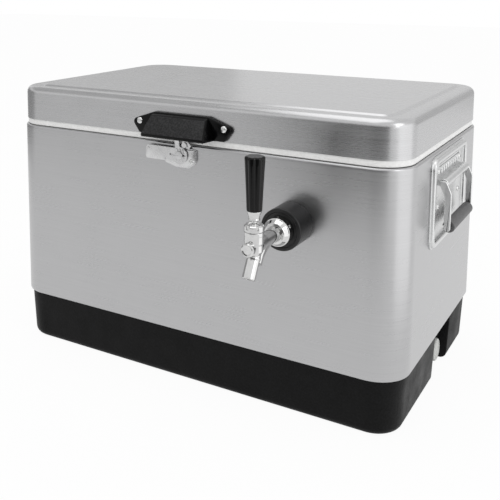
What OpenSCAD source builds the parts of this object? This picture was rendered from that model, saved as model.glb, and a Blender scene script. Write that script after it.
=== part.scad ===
// Single-tap jockey box: an insulated steel-belted cooler with a cooling coil and a beer faucet.
// Millimetres, +Z up, front of the box towards -Y. Origin on the floor under the centre of the box.

/* [Box] */
// Width across the steel belt
cooler_w = 610; // [560:1:680]
// Depth across the steel belt
cooler_d = 390; // [360:1:440]
// Radius of the upright corners
corner_r = 45; // [42:1:60]
// Height of the lower edge of the belt
belt_bottom = 74; // [68:1:84]
// Height of the upper edge of the belt
belt_top = 340; // [335:1:370]
// Thickness of the belt sheet
belt_t = 1.2; // [0.8:0.1:1.6]
// Radius of the rolled edges of the belt
hem_r = 6; // [4:0.5:7]

/* [Base] */
// Wall of the moulded base
base_wall = 4; // [3:0.5:5]
// Step from the belt in to the top of the base
base_step = 4; // [3:0.5:6]
// Extra inset of the base at its foot, from the mould draft
base_draft = 4; // [2:1:12]
// Radius of the lower edge of the base
base_edge_r = 10; // [8:1:18]
// Height of the tongue that the belt is pressed over
tongue_h = 10; // [6:1:14]
// Width of the drain recess in the right side of the base
recess_w = 82; // [74:1:90]
// Depth of the drain recess
recess_depth = 22; // [18:1:24]
// Centre of the drain recess along the side
recess_y = 29; // [20:1:40]

/* [Cavity] */
// Insulated wall, from the belt to the inside of the liner
wall_inset = 40; // [38:1:46]
// Wall of the white liner
liner_t = 3; // [2:0.5:4]
// Height of the cavity floor
floor_z = 33; // [28:1:38]
// Radius of the cavity corners
cavity_r = 16; // [12:1:20]
// Height that the liner rim stands above the belt
rim_rise = 3; // [2:0.5:4]
// Thickness of the liner rim flange
rim_t = 11; // [10:1:14]

/* [Lid] */
// Height of the lower edge of the lid skin above the belt
lid_gap = 9; // [8:0.5:12]
// Height of the lid skin
lid_h = 51; // [44:1:64]
// Inset of the lid skin from the belt
lid_inset = 2; // [1:0.5:3]
// Radius of the upper edge of the lid skin
lid_edge_r = 17; // [10:1:18]
// Height of the pressed panel on the lid
panel_rise = 1.5; // [1:0.1:2]
// Inset of the pressed panel from the belt
panel_inset = 26; // [22:1:34]
// Thickness of the lid skin
lid_skin_t = 1.2; // [0.8:0.1:1.6]
// Inset of the white skirt from the belt
skirt_inset = 3; // [2.5:0.5:3.5]
// Thickness of the white skirt
skirt_t = 3; // [2.5:0.5:3.5]
// Depth of the pan that plugs the cavity
pan_depth = 8; // [4:1:12]
// Gap between the pan and the cavity wall
pan_gap = 6; // [4:1:8]

/* [Lid pull] */
// Half width of the pull at its pointed ends
pull_half_w = 80; // [76:1:90]
// Half width of the pull along its top
pull_top_half = 43; // [38:1:48]
// Half width of the sloping panel at its foot
pull_foot_half = 49; // [44:1:54]
// Height of the pull
pull_h = 31; // [28:1:34]
// Reach of the pull at its foot
pull_reach = 30; // [24:1:32]
// Reach of the pull at its top
pull_top_reach = 13; // [11:1:15]
// Thickness of the end wings
pull_wing_t = 6; // [5:0.5:8]
// Wall of the pull
pull_wall = 3; // [2:0.5:4]
// Half distance between the two pull screws
pull_screw_half = 66; // [64:1:68]

/* [Latch] */
// Height of the latch pivot under the top of the belt
latch_drop = 14; // [13:0.5:16]
// Radius of the latch hub
latch_hub_r = 12; // [11:0.5:12.5]
// Reach of the latch tab from the pivot
latch_tab = 54; // [44:1:60]
// Height of the latch tab
latch_tab_h = 19; // [14:1:20]
// Radius of the latch rivet
rivet_r = 3.5; // [3:0.1:4]
// Distance of the strike post from the pivot
post_reach = 17; // [16.5:0.1:17.5]
// Radius of the strike post
post_r = 2.5; // [2:0.1:2.8]

/* [Side handles] */
// Length of the handle plate along the side
plate_w = 180; // [160:1:200]
// Height of the handle plate
plate_h = 122; // [110:1:130]
// Distance of the lower edge of the handle plate under the top of the belt
plate_drop = 127; // [126:1:140]
// Width of the raised rim of the plate
rim_w = 10; // [8:1:12]
// Height of the raised rim of the plate
rim_h = 6; // [4:0.5:7]
// Thickness of the plate sheet
plate_t = 1.5; // [1.2:0.1:2]
// Outer radius of the rolled barrel on the plate
barrel_r = 6; // [5.5:0.1:6.5]
// Length of the rolled barrel
barrel_len = 118; // [108:1:124]
// Drop from the barrel to the grip
bail_drop = 58; // [52:1:62]
// Radius of the pins of the bail
bail_pin_r = 3; // [2.5:0.1:3.2]
// Width of the bail strap
strap_w = 8.4; // [8.2:0.2:10]
// Thickness of the bail strap
strap_t = 3; // [2.5:0.1:3.5]
// Radius of the rubber grip
grip_r = 8; // [7.5:0.1:8.5]
// Length of the rubber grip
grip_len = 106; // [96:1:112]

/* [Hinges] */
// Distance of each hinge from the middle of the box
hinge_x = 190; // [120:1:220]
// Length of each hinge
hinge_len = 70; // [60:1:90]
// Radius of the hinge knuckles
knuckle_r = 4.5; // [4.3:0.1:4.8]
// Radius of the hinge pin
hinge_pin_r = 2.2; // [1.8:0.1:2.4]

/* [Faucet] */
// Distance of the faucet to the right of the middle
tap_x = 165; // [120:1:190]
// Distance of the faucet axis under the top of the belt
tap_drop = 81; // [78:1:90]
// Radius of the black collar behind the faucet
collar_r = 26.5; // [24:0.5:30]
// Reach of the black collar
collar_len = 40; // [36:1:44]
// Radius of the threaded shank
shank_r = 11.1; // [10.5:0.1:11.5]
// Radius of the bore of the shank
shank_bore_r = 3.2; // [2.5:0.1:4]
// Length of the shank inside the cavity
shank_tail = 22; // [20:1:26]
// Radius of the coupling nut
coupling_r = 17.5; // [16.8:0.1:18.5]
// Radius of the faucet barrel
barrel_out_r = 9.5; // [9.2:0.1:10.5]
// Radius of the bore of the faucet
faucet_bore_r = 6.5; // [6.2:0.1:6.6]
// Distance from the collar to the upright axis of the faucet
faucet_reach = 70; // [68:1:74]
// Radius of the faucet head
head_r = 11.5; // [11:0.1:12.5]
// Length of the spout
spout_len = 40.5; // [36:0.5:48]
// Outer radius of the spout
spout_r = 8; // [7:0.1:9]
// Bore radius of the spout
spout_bore_r = 5; // [4:0.1:5.5]
// Angle of the spout from the barrel
spout_angle = 60; // [55:1:66]
// Height of the lever pivot above the barrel axis
lever_rise = 22; // [21.5:0.1:22.5]
// Length of the black tap handle
tap_handle_len = 63; // [50:1:120]
// Radius of the tap handle at its foot
tap_handle_foot_r = 9; // [8.8:0.1:10.5]
// Radius of the tap handle at its top
tap_handle_top_r = 11.8; // [11:0.1:14]

/* [Cooling coil] */
// Radius of the middle of the coil
coil_r = 80; // [60:1:85]
// Radius of the coil tube
tube_r = 4; // [3.5:0.1:4.5]
// Number of turns of the coil
coil_turns = 23; // [10:1:23]
// Distance of the coil to the right of the middle
coil_x = 120; // [100:1:140]
// Distance of the coil behind the middle
coil_y = 8; // [4:1:12]

/* [Inlet and drain] */
// Distance of the inlet to the right of the middle, on the back
inlet_x = 100; // [90:1:110]
// Distance of the inlet under the top of the belt
inlet_drop = 81; // [78:1:100]
// Reach of the rear bulkhead thread
inlet_reach = 26; // [20:1:36]
// Place of the drain along the right side
drain_y = 8; // [4:1:14]
// Height of the drain
drain_z = 40; // [38:1:44]
// Radius of the drain thread
drain_r = 9; // [8:0.1:10]
// Radius of the drain cap
drain_cap_r = 16; // [14:0.5:18]

/* [Fasteners] */
// Radius of the screw shanks
screw_r = 2; // [1.8:0.1:2.2]
// Radius of the screw heads
screw_head_r = 4.2; // [3.8:0.1:4.6]
// Height of the screw heads
screw_head_h = 2; // [1.5:0.1:2.4]
// Length of the screws under the head
screw_len = 12; // [9:1:16]

/* [Hidden] */
// Fineness of exact circles
$fn = 48;
// Facets of each upright corner
corner_steps = 8;
// Gap between pieces that lie on each other
fit = 0.05;
// Gap between the foam and the shells around it
foam_gap = 0.1;
// Gap between pieces that move past each other
run_gap = 0.3;
// Radial clearance of a running pin
pin_gap = 0.06;
// Overshoot of a cutting shape
over = 1;

front_y = -cooler_d / 2;
back_y = cooler_d / 2;
side_x = cooler_w / 2;
rim_top = belt_top + rim_rise;
lid_bottom = belt_top + lid_gap;
lid_top = lid_bottom + lid_h;
gasket_t = 3;
plate_top_gap = 0.6;
lid_plate_z = rim_top + gasket_t;
pan_inset = wall_inset + pan_gap;
pan_z = rim_top - pan_depth;
gasket_out = wall_inset - 14;
gasket_in = wall_inset - 5;
rim_inset = skirt_inset + skirt_t + 2;
liner_inset = wall_inset - liner_t;
plate_z = belt_top - plate_drop;
tap_z = belt_top - tap_drop;
inlet_z = belt_top - inlet_drop;
foam_top = rim_top - rim_t;
lid_front = front_y + lid_inset;
lid_back = back_y - lid_inset;
lid_crown = lid_top - panel_rise;
panel_slope = 4;

base_foot_inset = base_step + base_draft;
tongue_inset = hem_r + over;
tongue_top = belt_bottom + tongue_h;
recess_back = side_x - base_step - recess_depth;
recess_top = belt_bottom - base_wall;
recess_corner = 4;

latch_z = belt_top - latch_drop;
latch_plate_t = 1.5;
strike_off = 2.2;
strike_t = 1.5;
lever_off = 4.6;
lever_t = 2.6;
post_angle = 60;
post_x = post_reach * cos(post_angle);
post_z = latch_z + post_reach * sin(post_angle);
hook_in = post_reach + post_r + 0.5;
hook_out = hook_in + 4;
latch_screw_x = 17;
latch_screw_drop = 8;
latch_plate_outline = [[-26, -13], [-8, -18], [10, -18], [20, -14], [24, -7], [24, 8], [-4, 12], [-26, 4]];
hook_from = 35;
hook_to = 112;
hook_arm_angle = 103;
hook_arm_w = 8;
tab_corner_r = 4;
rivet_head_r = rivet_r + 2.6;
rivet_head_t = 1.6;

pull_z = lid_bottom + 1;
pull_top_z = pull_z + pull_h;
pull_screw_z = pull_z + 17;
pull_mid_z = pull_z + 18;
pull_side_half = 67;
strike_half = 14;
strike_top_z = pull_z + 22;
strike_foot_z = post_z - 6;
post_top = lever_off - strike_off + lever_t + 0.5;
tongue_half = 6;
post_head_t = 1.1;

pivot_off = 9;
pivot_z = plate_z + 85;
grip_off = 16;
grip_z = pivot_z - bail_drop;
rod_r = 4;
pin_reach = 14;
arm_y = barrel_len / 2 + run_gap + strap_t / 2;
plate_screw_y = 56;
plate_screw_top = plate_z + 99;
plate_screw_low = plate_z + 52;
slot_half = 55;
slot_z = plate_z + 106;
slot_t = 3;
plate_corner = 14;

hinge_y = back_y + knuckle_r + 0.5;
hinge_z = belt_top + 4;
knuckle_mid = 12;
leaf_t = 1.5;
leaf_drop = 44;
leaf_rise = 36;
leaf_clear = 5.5;
hinge_screw_x = 24;
pin_head_t = 1.5;
hinge_screw_low = hinge_z - 26;
hinge_screw_top = hinge_z + 26;

head_face = 6;
head_thread_r = 14.3;
flange_t = 4;
flange_r = 13.5;
nut_len = 17;
nut_cone = 6;
coupling_z = collar_len + run_gap;
head_z = collar_len + head_face;
barrel_z = head_z;
faucet_z = collar_len + faucet_reach;
knob_len = 18;
knob_r = 8;
knob_z = faucet_z + knob_len;
chamber_r = 8;
head_low = -9;
head_top = lever_rise - 3.7;
bonnet_top = lever_rise + 4.5;
ball_r = 6.5;
ball_gap = 0.1;
stem_r = 3.2;
finger_r = 1.5;
tip_r = 2.2;
tip_arm = 16.4;
shaft_r = 3.2;
valve_collar_r = 6.2;
valve_collar_t = 1.8;
collar_half_gap = tip_r + 0.4;
seat_z = faucet_z - 37;
seat_t = 4;
seat_r = 4.5;
washer_t = 3.5;
washer_r = 6;
shaft_front = knob_z - 2;
ferrule_z = lever_rise + 9;
ferrule_h = 11;
ferrule_foot_r = 6.5;
ferrule_top_r = 8.6;
handle_z = ferrule_z + ferrule_h;
stem_top = handle_z + 12;
spout_start = faucet_z - 7;
spout_neck = 18;
neck_relief = 0.2;
slot_top = lever_rise - 10;
flute_depth = 0.09;
flutes = 6;

nut_r = 17;
nut_t = 8;
tail_r = 3.9;
tail_bore_r = 2.4;
tail_len = 28;
tail_flange_r = 9;
tail_flange_t = 3;
barb_pitch = 5;
beer_nut_r = 15;
beer_nut_len = 12;
shank_in = -(wall_inset + shank_tail);
tail_z = shank_in - tail_flange_t;
tail_end = tail_z - tail_len;
hose_r = 6.5;
hose_on = 20;
clamp_r = 8.2;
clamp_w = 7;
rear_collar_t = 12;
rear_collar_r = 22;
thread_gap = 0.5;

coil_pitch = tube_r * 2 + 0.5;
coil_z = floor_z + tube_r + fit;
coil_top_z = coil_z + coil_turns * coil_pitch;
steps_per_turn = 18;
tube_sides = 8;
riser_out = 28;
riser_x = coil_x + 50;
tail_x = coil_x + coil_r;
tail_y = coil_y + 14;
tap_tail_y = front_y - tail_end;
inlet_tail_y = back_y + tail_end;
riser_y = coil_y + coil_r + riser_out - 4;
riser_top = coil_top_z + 4;
top_tail = 26;

drain_flange_r = 15;
drain_flange_t = 3;
drain_bore_r = 6;
drain_out = recess_back + 12;
drain_in = side_x - wall_inset;
drain_washer_t = 2;
cap_face = recess_back + 20;
cap_wall = 3;
cap_skirt = cap_face - recess_back - drain_washer_t - drain_flange_t - over;

// ---------------------------------------------------------------- shapes and helpers

function corner_arc(cx, cy, r, a0) =
    [for (i = [0:corner_steps]) let (a = a0 + 90 * i / corner_steps) [cx + r * cos(a), cy + r * sin(a)]];

function round_rect(w, d, r) = concat(
    corner_arc(w / 2 - r, d / 2 - r, r, 0),
    corner_arc(r - w / 2, d / 2 - r, r, 90),
    corner_arc(r - w / 2, r - d / 2, r, 180),
    corner_arc(w / 2 - r, r - d / 2, r, 270));

// Outline of the box, moved in by an inset, with corners no tighter than least_r
function box_outline(inset, least_r = 4) =
    round_rect(cooler_w - 2 * inset, cooler_d - 2 * inset, max(corner_r - inset, least_r));

// Closed solid through a stack of [inset, height] pairs
module loft(profile, least_r = 4) {
    n = 4 * (corner_steps + 1);
    last = len(profile) - 1;
    rings = [for (p = profile) for (q = box_outline(p[0], least_r)) [q[0], q[1], p[1]]];
    sides = [for (k = [0:last - 1]) for (i = [0:n - 1]) let (j = (i + 1) % n)
        [k * n + i, (k + 1) * n + i, (k + 1) * n + j, k * n + j]];
    floor_face = [[for (i = [0:n - 1]) i]];
    top_face = [[for (i = [n - 1:-1:0]) last * n + i]];
    polyhedron(rings, concat(floor_face, sides, top_face));
}

// Straight block with the outline of the box
module inset_block(inset, z0, z1, least_r = 4)
    translate([0, 0, z0]) linear_extrude(z1 - z0) polygon(box_outline(inset, least_r));

module ring(r_out, r_in, z0, z1)
    difference() {
        translate([0, 0, z0]) cylinder(r = r_out, h = z1 - z0);
        translate([0, 0, z0 - over]) cylinder(r = r_in, h = z1 - z0 + 2 * over);
    }

module rod(r, z0, z1) translate([0, 0, z0]) cylinder(r = r, h = z1 - z0);

// Local frames on the walls: local z points out of the box
module on_front(x, z, off = 0) translate([x, front_y - off, z]) rotate([90, 0, 0]) children();
module on_back(x, z, off = 0) translate([x, back_y + off, z]) rotate([-90, 0, 0]) children();
module on_right(y, z, off = 0) translate([side_x + off, y, z]) rotate([0, 90, 0]) children();
module mirrored(side) mirror([side < 0 ? 1 : 0, 0, 0]) children();

module screw() {
    rod(screw_r, -screw_len, fit);
    difference() {
        intersection() {
            rod(screw_head_r, 0, screw_head_h);
            translate([0, 0, screw_head_h - screw_head_r * 1.6]) sphere(r = screw_head_r * 1.6);
        }
        for (a = [0, 90])
            rotate([0, 0, a]) translate([-screw_head_r * 0.55, -0.5, screw_head_h - 0.8])
                cube([screw_head_r * 1.1, 1, 2]);
    }
}

module screw_hole() rod(screw_r + fit, -screw_len - over, 2 * screw_len);

// Tube swept along a path, round its own middle line
function unit(v) = v / norm(v);
function path_dir(path, i) =
    unit(path[min(i + 1, len(path) - 1)] - path[max(i - 1, 0)]);
function side_dir(t) = abs(t[2]) > 0.85 ? unit(cross(t, [0, 1, 0])) : unit(cross(t, [0, 0, 1]));
function carry(path, i, u) = unit(u - (u * path_dir(path, i)) * path_dir(path, i));
function frames(path, i = 0, u = undef, acc = []) =
    i == len(path) ? acc :
    let (v = i == 0 ? side_dir(path_dir(path, 0)) : carry(path, i, u))
    frames(path, i + 1, v, concat(acc, [v]));

module sweep(path, r, sides = tube_sides) {
    count = len(path);
    us = frames(path);
    points = [for (i = [0:count - 1]) let (t = path_dir(path, i), u = us[i], w = cross(t, u))
        for (k = [0:sides - 1]) path[i] + r * (cos(360 * k / sides) * u + sin(360 * k / sides) * w)];
    walls = [for (i = [0:count - 2]) for (k = [0:sides - 1]) let (m = (k + 1) % sides)
        [i * sides + k, (i + 1) * sides + k, (i + 1) * sides + m, i * sides + m]];
    start = [[for (k = [0:sides - 1]) k]];
    finish = [[for (k = [sides - 1:-1:0]) (count - 1) * sides + k]];
    polyhedron(points, concat(start, walls, finish));
}

// Points of a smooth curve through hand-placed points
function blend_point(a, b, c, d, t) =
    0.5 * ((2 * b) + (c - a) * t + (2 * a - 5 * b + 4 * c - d) * t * t + (3 * b - a - 3 * c + d) * t * t * t);
function smooth_path(p, steps = 4) = concat(
    [for (i = [0:len(p) - 2]) for (k = [0:steps - 1])
        blend_point(p[max(i - 1, 0)], p[i], p[i + 1], p[min(i + 2, len(p) - 1)], k / steps)],
    [p[len(p) - 1]]);

// ---------------------------------------------------------------- base, belt and liner

function base_profile(wall) = concat(
    [for (a = [0:22.5:90]) [base_foot_inset + base_edge_r - (base_edge_r - wall) * sin(a),
        base_edge_r - (base_edge_r - wall) * cos(a)]],
    [[base_step + wall, belt_bottom]]);

module recess_box(grow, top) {
    w = recess_w + 2 * grow;
    r = recess_corner + grow;
    x0 = recess_back - grow;
    reach = side_x + over - x0;
    translate([x0 + reach, recess_y, -over]) linear_extrude(top + over)
        polygon(round_rect(2 * reach, w, r));
}

module drain_hole(r, gap = fit)
    translate([0, drain_y, drain_z]) rotate([0, 90, 0]) rod(r + gap, drain_in - over, side_x + over);

module base_tub() color("#1b1b1c") difference() {
    union() {
        difference() {
            union() {
                loft(base_profile(0));
                inset_block(tongue_inset, belt_bottom - over, tongue_top);
            }
            loft(base_profile(base_wall));
            inset_block(tongue_inset + base_wall, belt_bottom - 2 * over, tongue_top + over);
        }
        intersection() {
            loft(base_profile(0));
            recess_box(base_wall, belt_bottom);
        }
    }
    recess_box(0, recess_top);
    drain_hole(drain_r);
}

function belt_profile(t, z0, z1) = concat(
    [for (a = [0:22.5:90]) [hem_r - (hem_r - t) * sin(a), z0 + hem_r - (hem_r - t) * cos(a)]],
    [for (a = [90:-22.5:0]) [hem_r - (hem_r - t) * sin(a), z1 - hem_r + (hem_r - t) * cos(a)]]);

module tap_hole(r) on_front(tap_x, tap_z) rod(r, shank_in, 2 * over);
module inlet_hole(r) on_back(inlet_x, inlet_z) rod(r, shank_in, 2 * over);

module body_screw_places() {
    for (x = [-latch_screw_x, latch_screw_x])
        on_front(x, latch_z - latch_screw_drop, latch_plate_t) children();
    for (side = [-1, 1], y = [-plate_screw_y, plate_screw_y], z = [plate_screw_low, plate_screw_top])
        mirrored(side) on_right(y, z, plate_t) children();
    for (side = [-1, 1], x = [-hinge_screw_x, hinge_screw_x])
        on_back(side * hinge_x + x, hinge_screw_low, leaf_t) children();
}

module steel_belt() color("#c3c4c4") difference() {
    loft(belt_profile(0, belt_bottom, belt_top));
    loft(belt_profile(belt_t, belt_bottom, belt_top));
    inset_block(hem_r, belt_bottom - over, belt_top + over);
    tap_hole(shank_r + fit);
    inlet_hole(shank_r + fit);
    body_screw_places() screw_hole();
    on_front(0, latch_z) rod(rivet_r + fit, -screw_len, over);
}

module cavity(inset, z0, z1) inset_block(inset, z0, z1, cavity_r);

module body_foam() color("#e6dfc4") difference() {
    union() {
        intersection() {
            loft(base_profile(base_wall + foam_gap));
            inset_block(0, base_wall + foam_gap, belt_bottom);
        }
        inset_block(tongue_inset + base_wall + foam_gap, belt_bottom - over, tongue_top + foam_gap);
        inset_block(hem_r + foam_gap, tongue_top + foam_gap, foam_top - foam_gap);
    }
    cavity(liner_inset - foam_gap, floor_z - liner_t - foam_gap, foam_top + over);
    recess_box(base_wall + foam_gap, belt_bottom + foam_gap);
    tap_hole(shank_r + fit);
    inlet_hole(shank_r + fit);
    drain_hole(drain_r);
    body_screw_places() screw_hole();
    on_front(0, latch_z) rod(rivet_r + fit, -screw_len - over, over);
}

module inner_liner() color("#f2f2ef") difference() {
    union() {
        cavity(liner_inset, floor_z - liner_t, rim_top);
        inset_block(rim_inset, foam_top, rim_top);
    }
    cavity(wall_inset, floor_z, rim_top + over);
    tap_hole(shank_r + fit);
    inlet_hole(shank_r + fit);
    drain_hole(drain_r);
}

// ---------------------------------------------------------------- drain

module at_drain() translate([0, drain_y, drain_z]) rotate([0, 90, 0]) children();

module drain_spout() color("#d9d9d6") at_drain() difference() {
    union() {
        rod(drain_r, drain_in, drain_out);
        rod(drain_flange_r, recess_back + drain_washer_t, recess_back + drain_washer_t + drain_flange_t);
    }
    rod(drain_bore_r, drain_in - over, drain_out + over);
}

module drain_washer() color("#2a2a2b") at_drain()
    ring(drain_flange_r - 1, drain_r + fit, recess_back + fit, recess_back + drain_washer_t - fit);

module drain_cap() color("#c9cac8") at_drain() difference() {
    union() {
        rod(drain_cap_r, cap_face - cap_skirt, cap_face - 2);
        translate([0, 0, cap_face - 2]) cylinder(r1 = drain_cap_r, r2 = drain_cap_r - 2, h = 2);
    }
    rod(drain_r + run_gap, cap_face - cap_skirt - over, cap_face - cap_wall);
}

// ---------------------------------------------------------------- lid

function lid_profile(t) = concat(
    [[lid_inset + t, lid_bottom]],
    [for (a = [0:15:90]) [lid_inset + lid_edge_r - (lid_edge_r - t) * cos(a),
        lid_crown - lid_edge_r + (lid_edge_r - t) * sin(a)]]);

module lid_screw_places() {
    for (x = [-pull_screw_half, pull_screw_half])
        on_front(x, pull_screw_z, pull_wing_t - lid_inset) children();
    for (side = [-1, 1], x = [-hinge_screw_x, hinge_screw_x])
        on_back(side * hinge_x + x, hinge_screw_top, leaf_t * 2 - lid_inset) children();
}

module lid_skin() color("#c6c7c7") difference() {
    union() {
        loft(lid_profile(0));
        loft([[panel_inset, lid_crown - over], [panel_inset, lid_crown],
            [panel_inset + panel_slope, lid_top]]);
    }
    translate([0, 0, -over])
        loft(concat([[lid_inset + lid_skin_t, lid_bottom - over]], lid_profile(lid_skin_t)));
    lid_screw_places() screw_hole();
}

module lid_foam() color("#e6dfc4") difference() {
    union() {
        translate([0, 0, -over - foam_gap]) intersection() {
            loft(lid_profile(lid_skin_t + foam_gap));
            inset_block(0, lid_bottom + over + 2 * foam_gap, lid_top);
        }
        cavity(pan_inset + liner_t + foam_gap, pan_z + liner_t + foam_gap, lid_bottom + over);
    }
    lid_screw_places() screw_hole();
}

module lid_liner() color("#f4f4f2") difference() {
    union() {
        inset_block(skirt_inset, belt_top + plate_top_gap, lid_bottom);
        cavity(pan_inset, pan_z, lid_bottom);
    }
    difference() {
        inset_block(skirt_inset + skirt_t, belt_top, lid_plate_z);
        cavity(pan_inset, pan_z - over, lid_bottom + over);
    }
    cavity(pan_inset + liner_t, pan_z + liner_t, lid_bottom + over);
}

module lid_gasket() color("#d8d8d4") difference() {
    cavity(gasket_out, rim_top, lid_plate_z - fit);
    cavity(gasket_in, rim_top - over, lid_plate_z + over);
}

// Flat shape in X and Z, pulled forward from the lid face
module lid_slab(points, y0, y1)
    translate([0, lid_front - y0, 0]) rotate([90, 0, 0]) linear_extrude(y1 - y0) polygon(points);

function span(x0, x1, z0, z1) = [[x0, z0], [x1, z0], [x1, z1], [x0, z1]];

function wing_points(g) = [
    [-pull_half_w + g, pull_mid_z], [-pull_top_half, pull_top_z - g], [pull_top_half, pull_top_z - g],
    [pull_half_w - g, pull_mid_z], [pull_side_half - g, pull_z + g], [-pull_side_half + g, pull_z + g]];

// Sloping front of the pull, smaller all round by w
module wedge(w) {
    foot = pull_z - w;
    back = [[-pull_top_half + w, pull_top_z - w], [pull_top_half - w, pull_top_z - w],
        [pull_foot_half + 3 - w, foot], [-pull_foot_half - 3 + w, foot]];
    hull() {
        lid_slab(back, fit, over);
        lid_slab([[-pull_top_half + w, pull_top_z - 4 - w], [pull_top_half - w, pull_top_z - 4 - w],
            [0, pull_mid_z]], over, pull_top_reach - w);
        lid_slab(span(-pull_foot_half + w, pull_foot_half - w, foot, pull_z + 2), over, pull_reach - w);
    }
}

module lid_cover() color("#161617") difference() {
    union() {
        lid_slab(wing_points(0), fit, pull_wing_t - 1.5);
        lid_slab(wing_points(1.5), fit, pull_wing_t);
        wedge(0);
    }
    difference() {
        wedge(pull_wall);
        lid_slab(span(-pull_half_w, pull_half_w, pull_z - 2 * pull_wall, pull_top_z), -over, strike_t + 1.2);
    }
    lid_slab(span(-strike_half - fit, strike_half + fit, pull_z - over, strike_top_z + fit), -over,
        strike_t + 1.4);
    lid_slab(span(post_x - tongue_half - over, post_x + tongue_half + over, pull_z - over, lid_bottom + 7),
        -over, lid_inset + strike_off + strike_t + 0.5);
    lid_screw_places() screw_hole();
}

module lid_cover_screws() color("#d2d2d0")
    for (x = [-pull_screw_half, pull_screw_half]) on_front(x, pull_screw_z, pull_wing_t - lid_inset) screw();

// Keeper on the lid: a plate behind the pull with a headed post that the latch hook takes
module latch_strike() color("#c9c9c8") {
    face = lid_inset + strike_off;
    lid_slab(span(-strike_half, strike_half, lid_bottom + 2, strike_top_z), fit, strike_t);
    difference() {
        lid_slab(span(post_x - tongue_half, post_x + tongue_half, strike_foot_z, lid_bottom + 6), fit,
            face + strike_t);
        lid_slab(span(post_x - 2 * tongue_half, post_x + 2 * tongue_half, strike_foot_z - over, lid_bottom),
            -over, face);
    }
    on_front(post_x, post_z, strike_off) {
        rod(post_r, strike_t - fit, post_top + over / 2);
        rod(post_r + 1.2, post_top, post_top + post_head_t);
    }
}

// ---------------------------------------------------------------- latch on the body

module latch_plate() color("#cfcfce") difference() {
    on_front(0, latch_z) linear_extrude(latch_plate_t) difference() {
        polygon(latch_plate_outline);
        for (x = [-latch_screw_x, latch_screw_x]) translate([x, -latch_screw_drop]) circle(r = screw_r + fit);
        circle(r = rivet_r + fit);
    }
}

module latch_rivet() color("#dadad9") on_front(0, latch_z) {
    rod(rivet_r, -screw_len + 2, lever_off + lever_t + run_gap + 0.1);
    ring(rivet_r + 3, rivet_r - over, latch_plate_t + fit, lever_off - run_gap);
    difference() {
        rod(rivet_head_r, lever_off + lever_t + run_gap, lever_off + lever_t + run_gap + rivet_head_t);
        rod(rivet_r - 1.5, lever_off + lever_t + run_gap + rivet_head_t / 2, lever_off + lever_t + 4);
    }
}

module latch_screws() color("#d2d2d0")
    for (x = [-latch_screw_x, latch_screw_x]) on_front(x, latch_z - latch_screw_drop, latch_plate_t) screw();

// Lever with a flat tab and a hook that closes round the strike post
module latch_lever() color("#d6d6d5") on_front(0, latch_z, lever_off) difference() {
    union() {
        rod(latch_hub_r, 0, lever_t);
        translate([-latch_tab + tab_corner_r, -latch_tab_h / 2, 0])
            cube([latch_tab - tab_corner_r, latch_tab_h, lever_t]);
        for (s = [-1, 1]) translate([-latch_tab + tab_corner_r, s * (latch_tab_h / 2 - tab_corner_r), 0])
            cylinder(r = tab_corner_r, h = lever_t);
        translate([-latch_tab, tab_corner_r - latch_tab_h / 2, 0])
            cube([2 * tab_corner_r, latch_tab_h - 2 * tab_corner_r, lever_t]);
        intersection() {
            ring(hook_out, hook_in, 0, lever_t);
            linear_extrude(lever_t) polygon(concat([[0, 0]],
                [for (t = [0:1 / 3:1]) let (a = hook_from + (hook_to - hook_from) * t)
                    2 * hook_out * [cos(a), sin(a)]]));
        }
        rotate([0, 0, hook_arm_angle]) translate([0, -hook_arm_w / 2, 0])
            cube([hook_in + 1, hook_arm_w, lever_t]);
    }
    rod(rivet_r + pin_gap, -over, lever_t + over);
}

// ---------------------------------------------------------------- side handles

module plate_shape(inset) translate([0, plate_z + plate_h / 2])
    polygon(round_rect(plate_w - 2 * inset, plate_h - 2 * inset, plate_corner - inset));

// Draws a shape in Y and Z and pulls it out along X from the side of the belt
module side_slab(x0, x1)
    translate([side_x + x0, 0, 0]) rotate([90, 0, 90]) linear_extrude(x1 - x0) children();

module side_bar(r, x, z, y0, y1)
    translate([side_x + x, y0, z]) rotate([-90, 0, 0]) cylinder(r = r, h = y1 - y0);

module handle_plate(side) mirrored(side) difference() {
    union() {
        side_slab(0, plate_t) plate_shape(0);
        side_slab(plate_t - fit, rim_h - 2) difference() { plate_shape(1); plate_shape(rim_w); }
        side_slab(rim_h - 2 - fit, rim_h) difference() { plate_shape(2.5); plate_shape(rim_w - 1.5); }
        side_bar(barrel_r, pivot_off, pivot_z, -barrel_len / 2, barrel_len / 2);
        translate([side_x + fit, -barrel_len / 2, pivot_z]) cube([pivot_off, barrel_len, barrel_r]);
    }
    side_bar(bail_pin_r + pin_gap, pivot_off, pivot_z, -barrel_len, barrel_len);
    side_slab(-over, 2 * rim_h) translate([-slot_half, slot_z]) square([2 * slot_half, slot_t]);
    for (y = [-plate_screw_y, plate_screw_y], z = [plate_screw_low, plate_screw_top])
        on_right(y, z, plate_t) screw_hole();
}

module handle_plate_right() color("#d0d1d1") handle_plate(1);
module handle_plate_left() color("#d0d1d1") handle_plate(-1);

module handle_screws() color("#d2d2d0")
    for (side = [-1, 1], y = [-plate_screw_y, plate_screw_y], z = [plate_screw_low, plate_screw_top])
        mirrored(side) on_right(y, z, plate_t) screw();

// One strap arm: an eye at the pin, a knee out, and a straight run down to the grip rod
module bail_arm(y) translate([side_x, y + strap_t / 2, 0]) rotate([90, 0, 0]) linear_extrude(strap_t)
    union() {
        translate([pivot_off, pivot_z]) circle(r = strap_w / 2);
        translate([grip_off, grip_z]) circle(r = strap_w / 2);
        polygon([[pivot_off - strap_w / 2 + 0.5, pivot_z - 1], [pivot_off + strap_w / 2, pivot_z + 2],
            [grip_off + strap_w / 2, pivot_z - 12], [grip_off + strap_w / 2 - 0.1, grip_z],
            [grip_off - strap_w / 2 + 0.1, grip_z], [grip_off - strap_w / 2, pivot_z - 18]]);
    }

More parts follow.
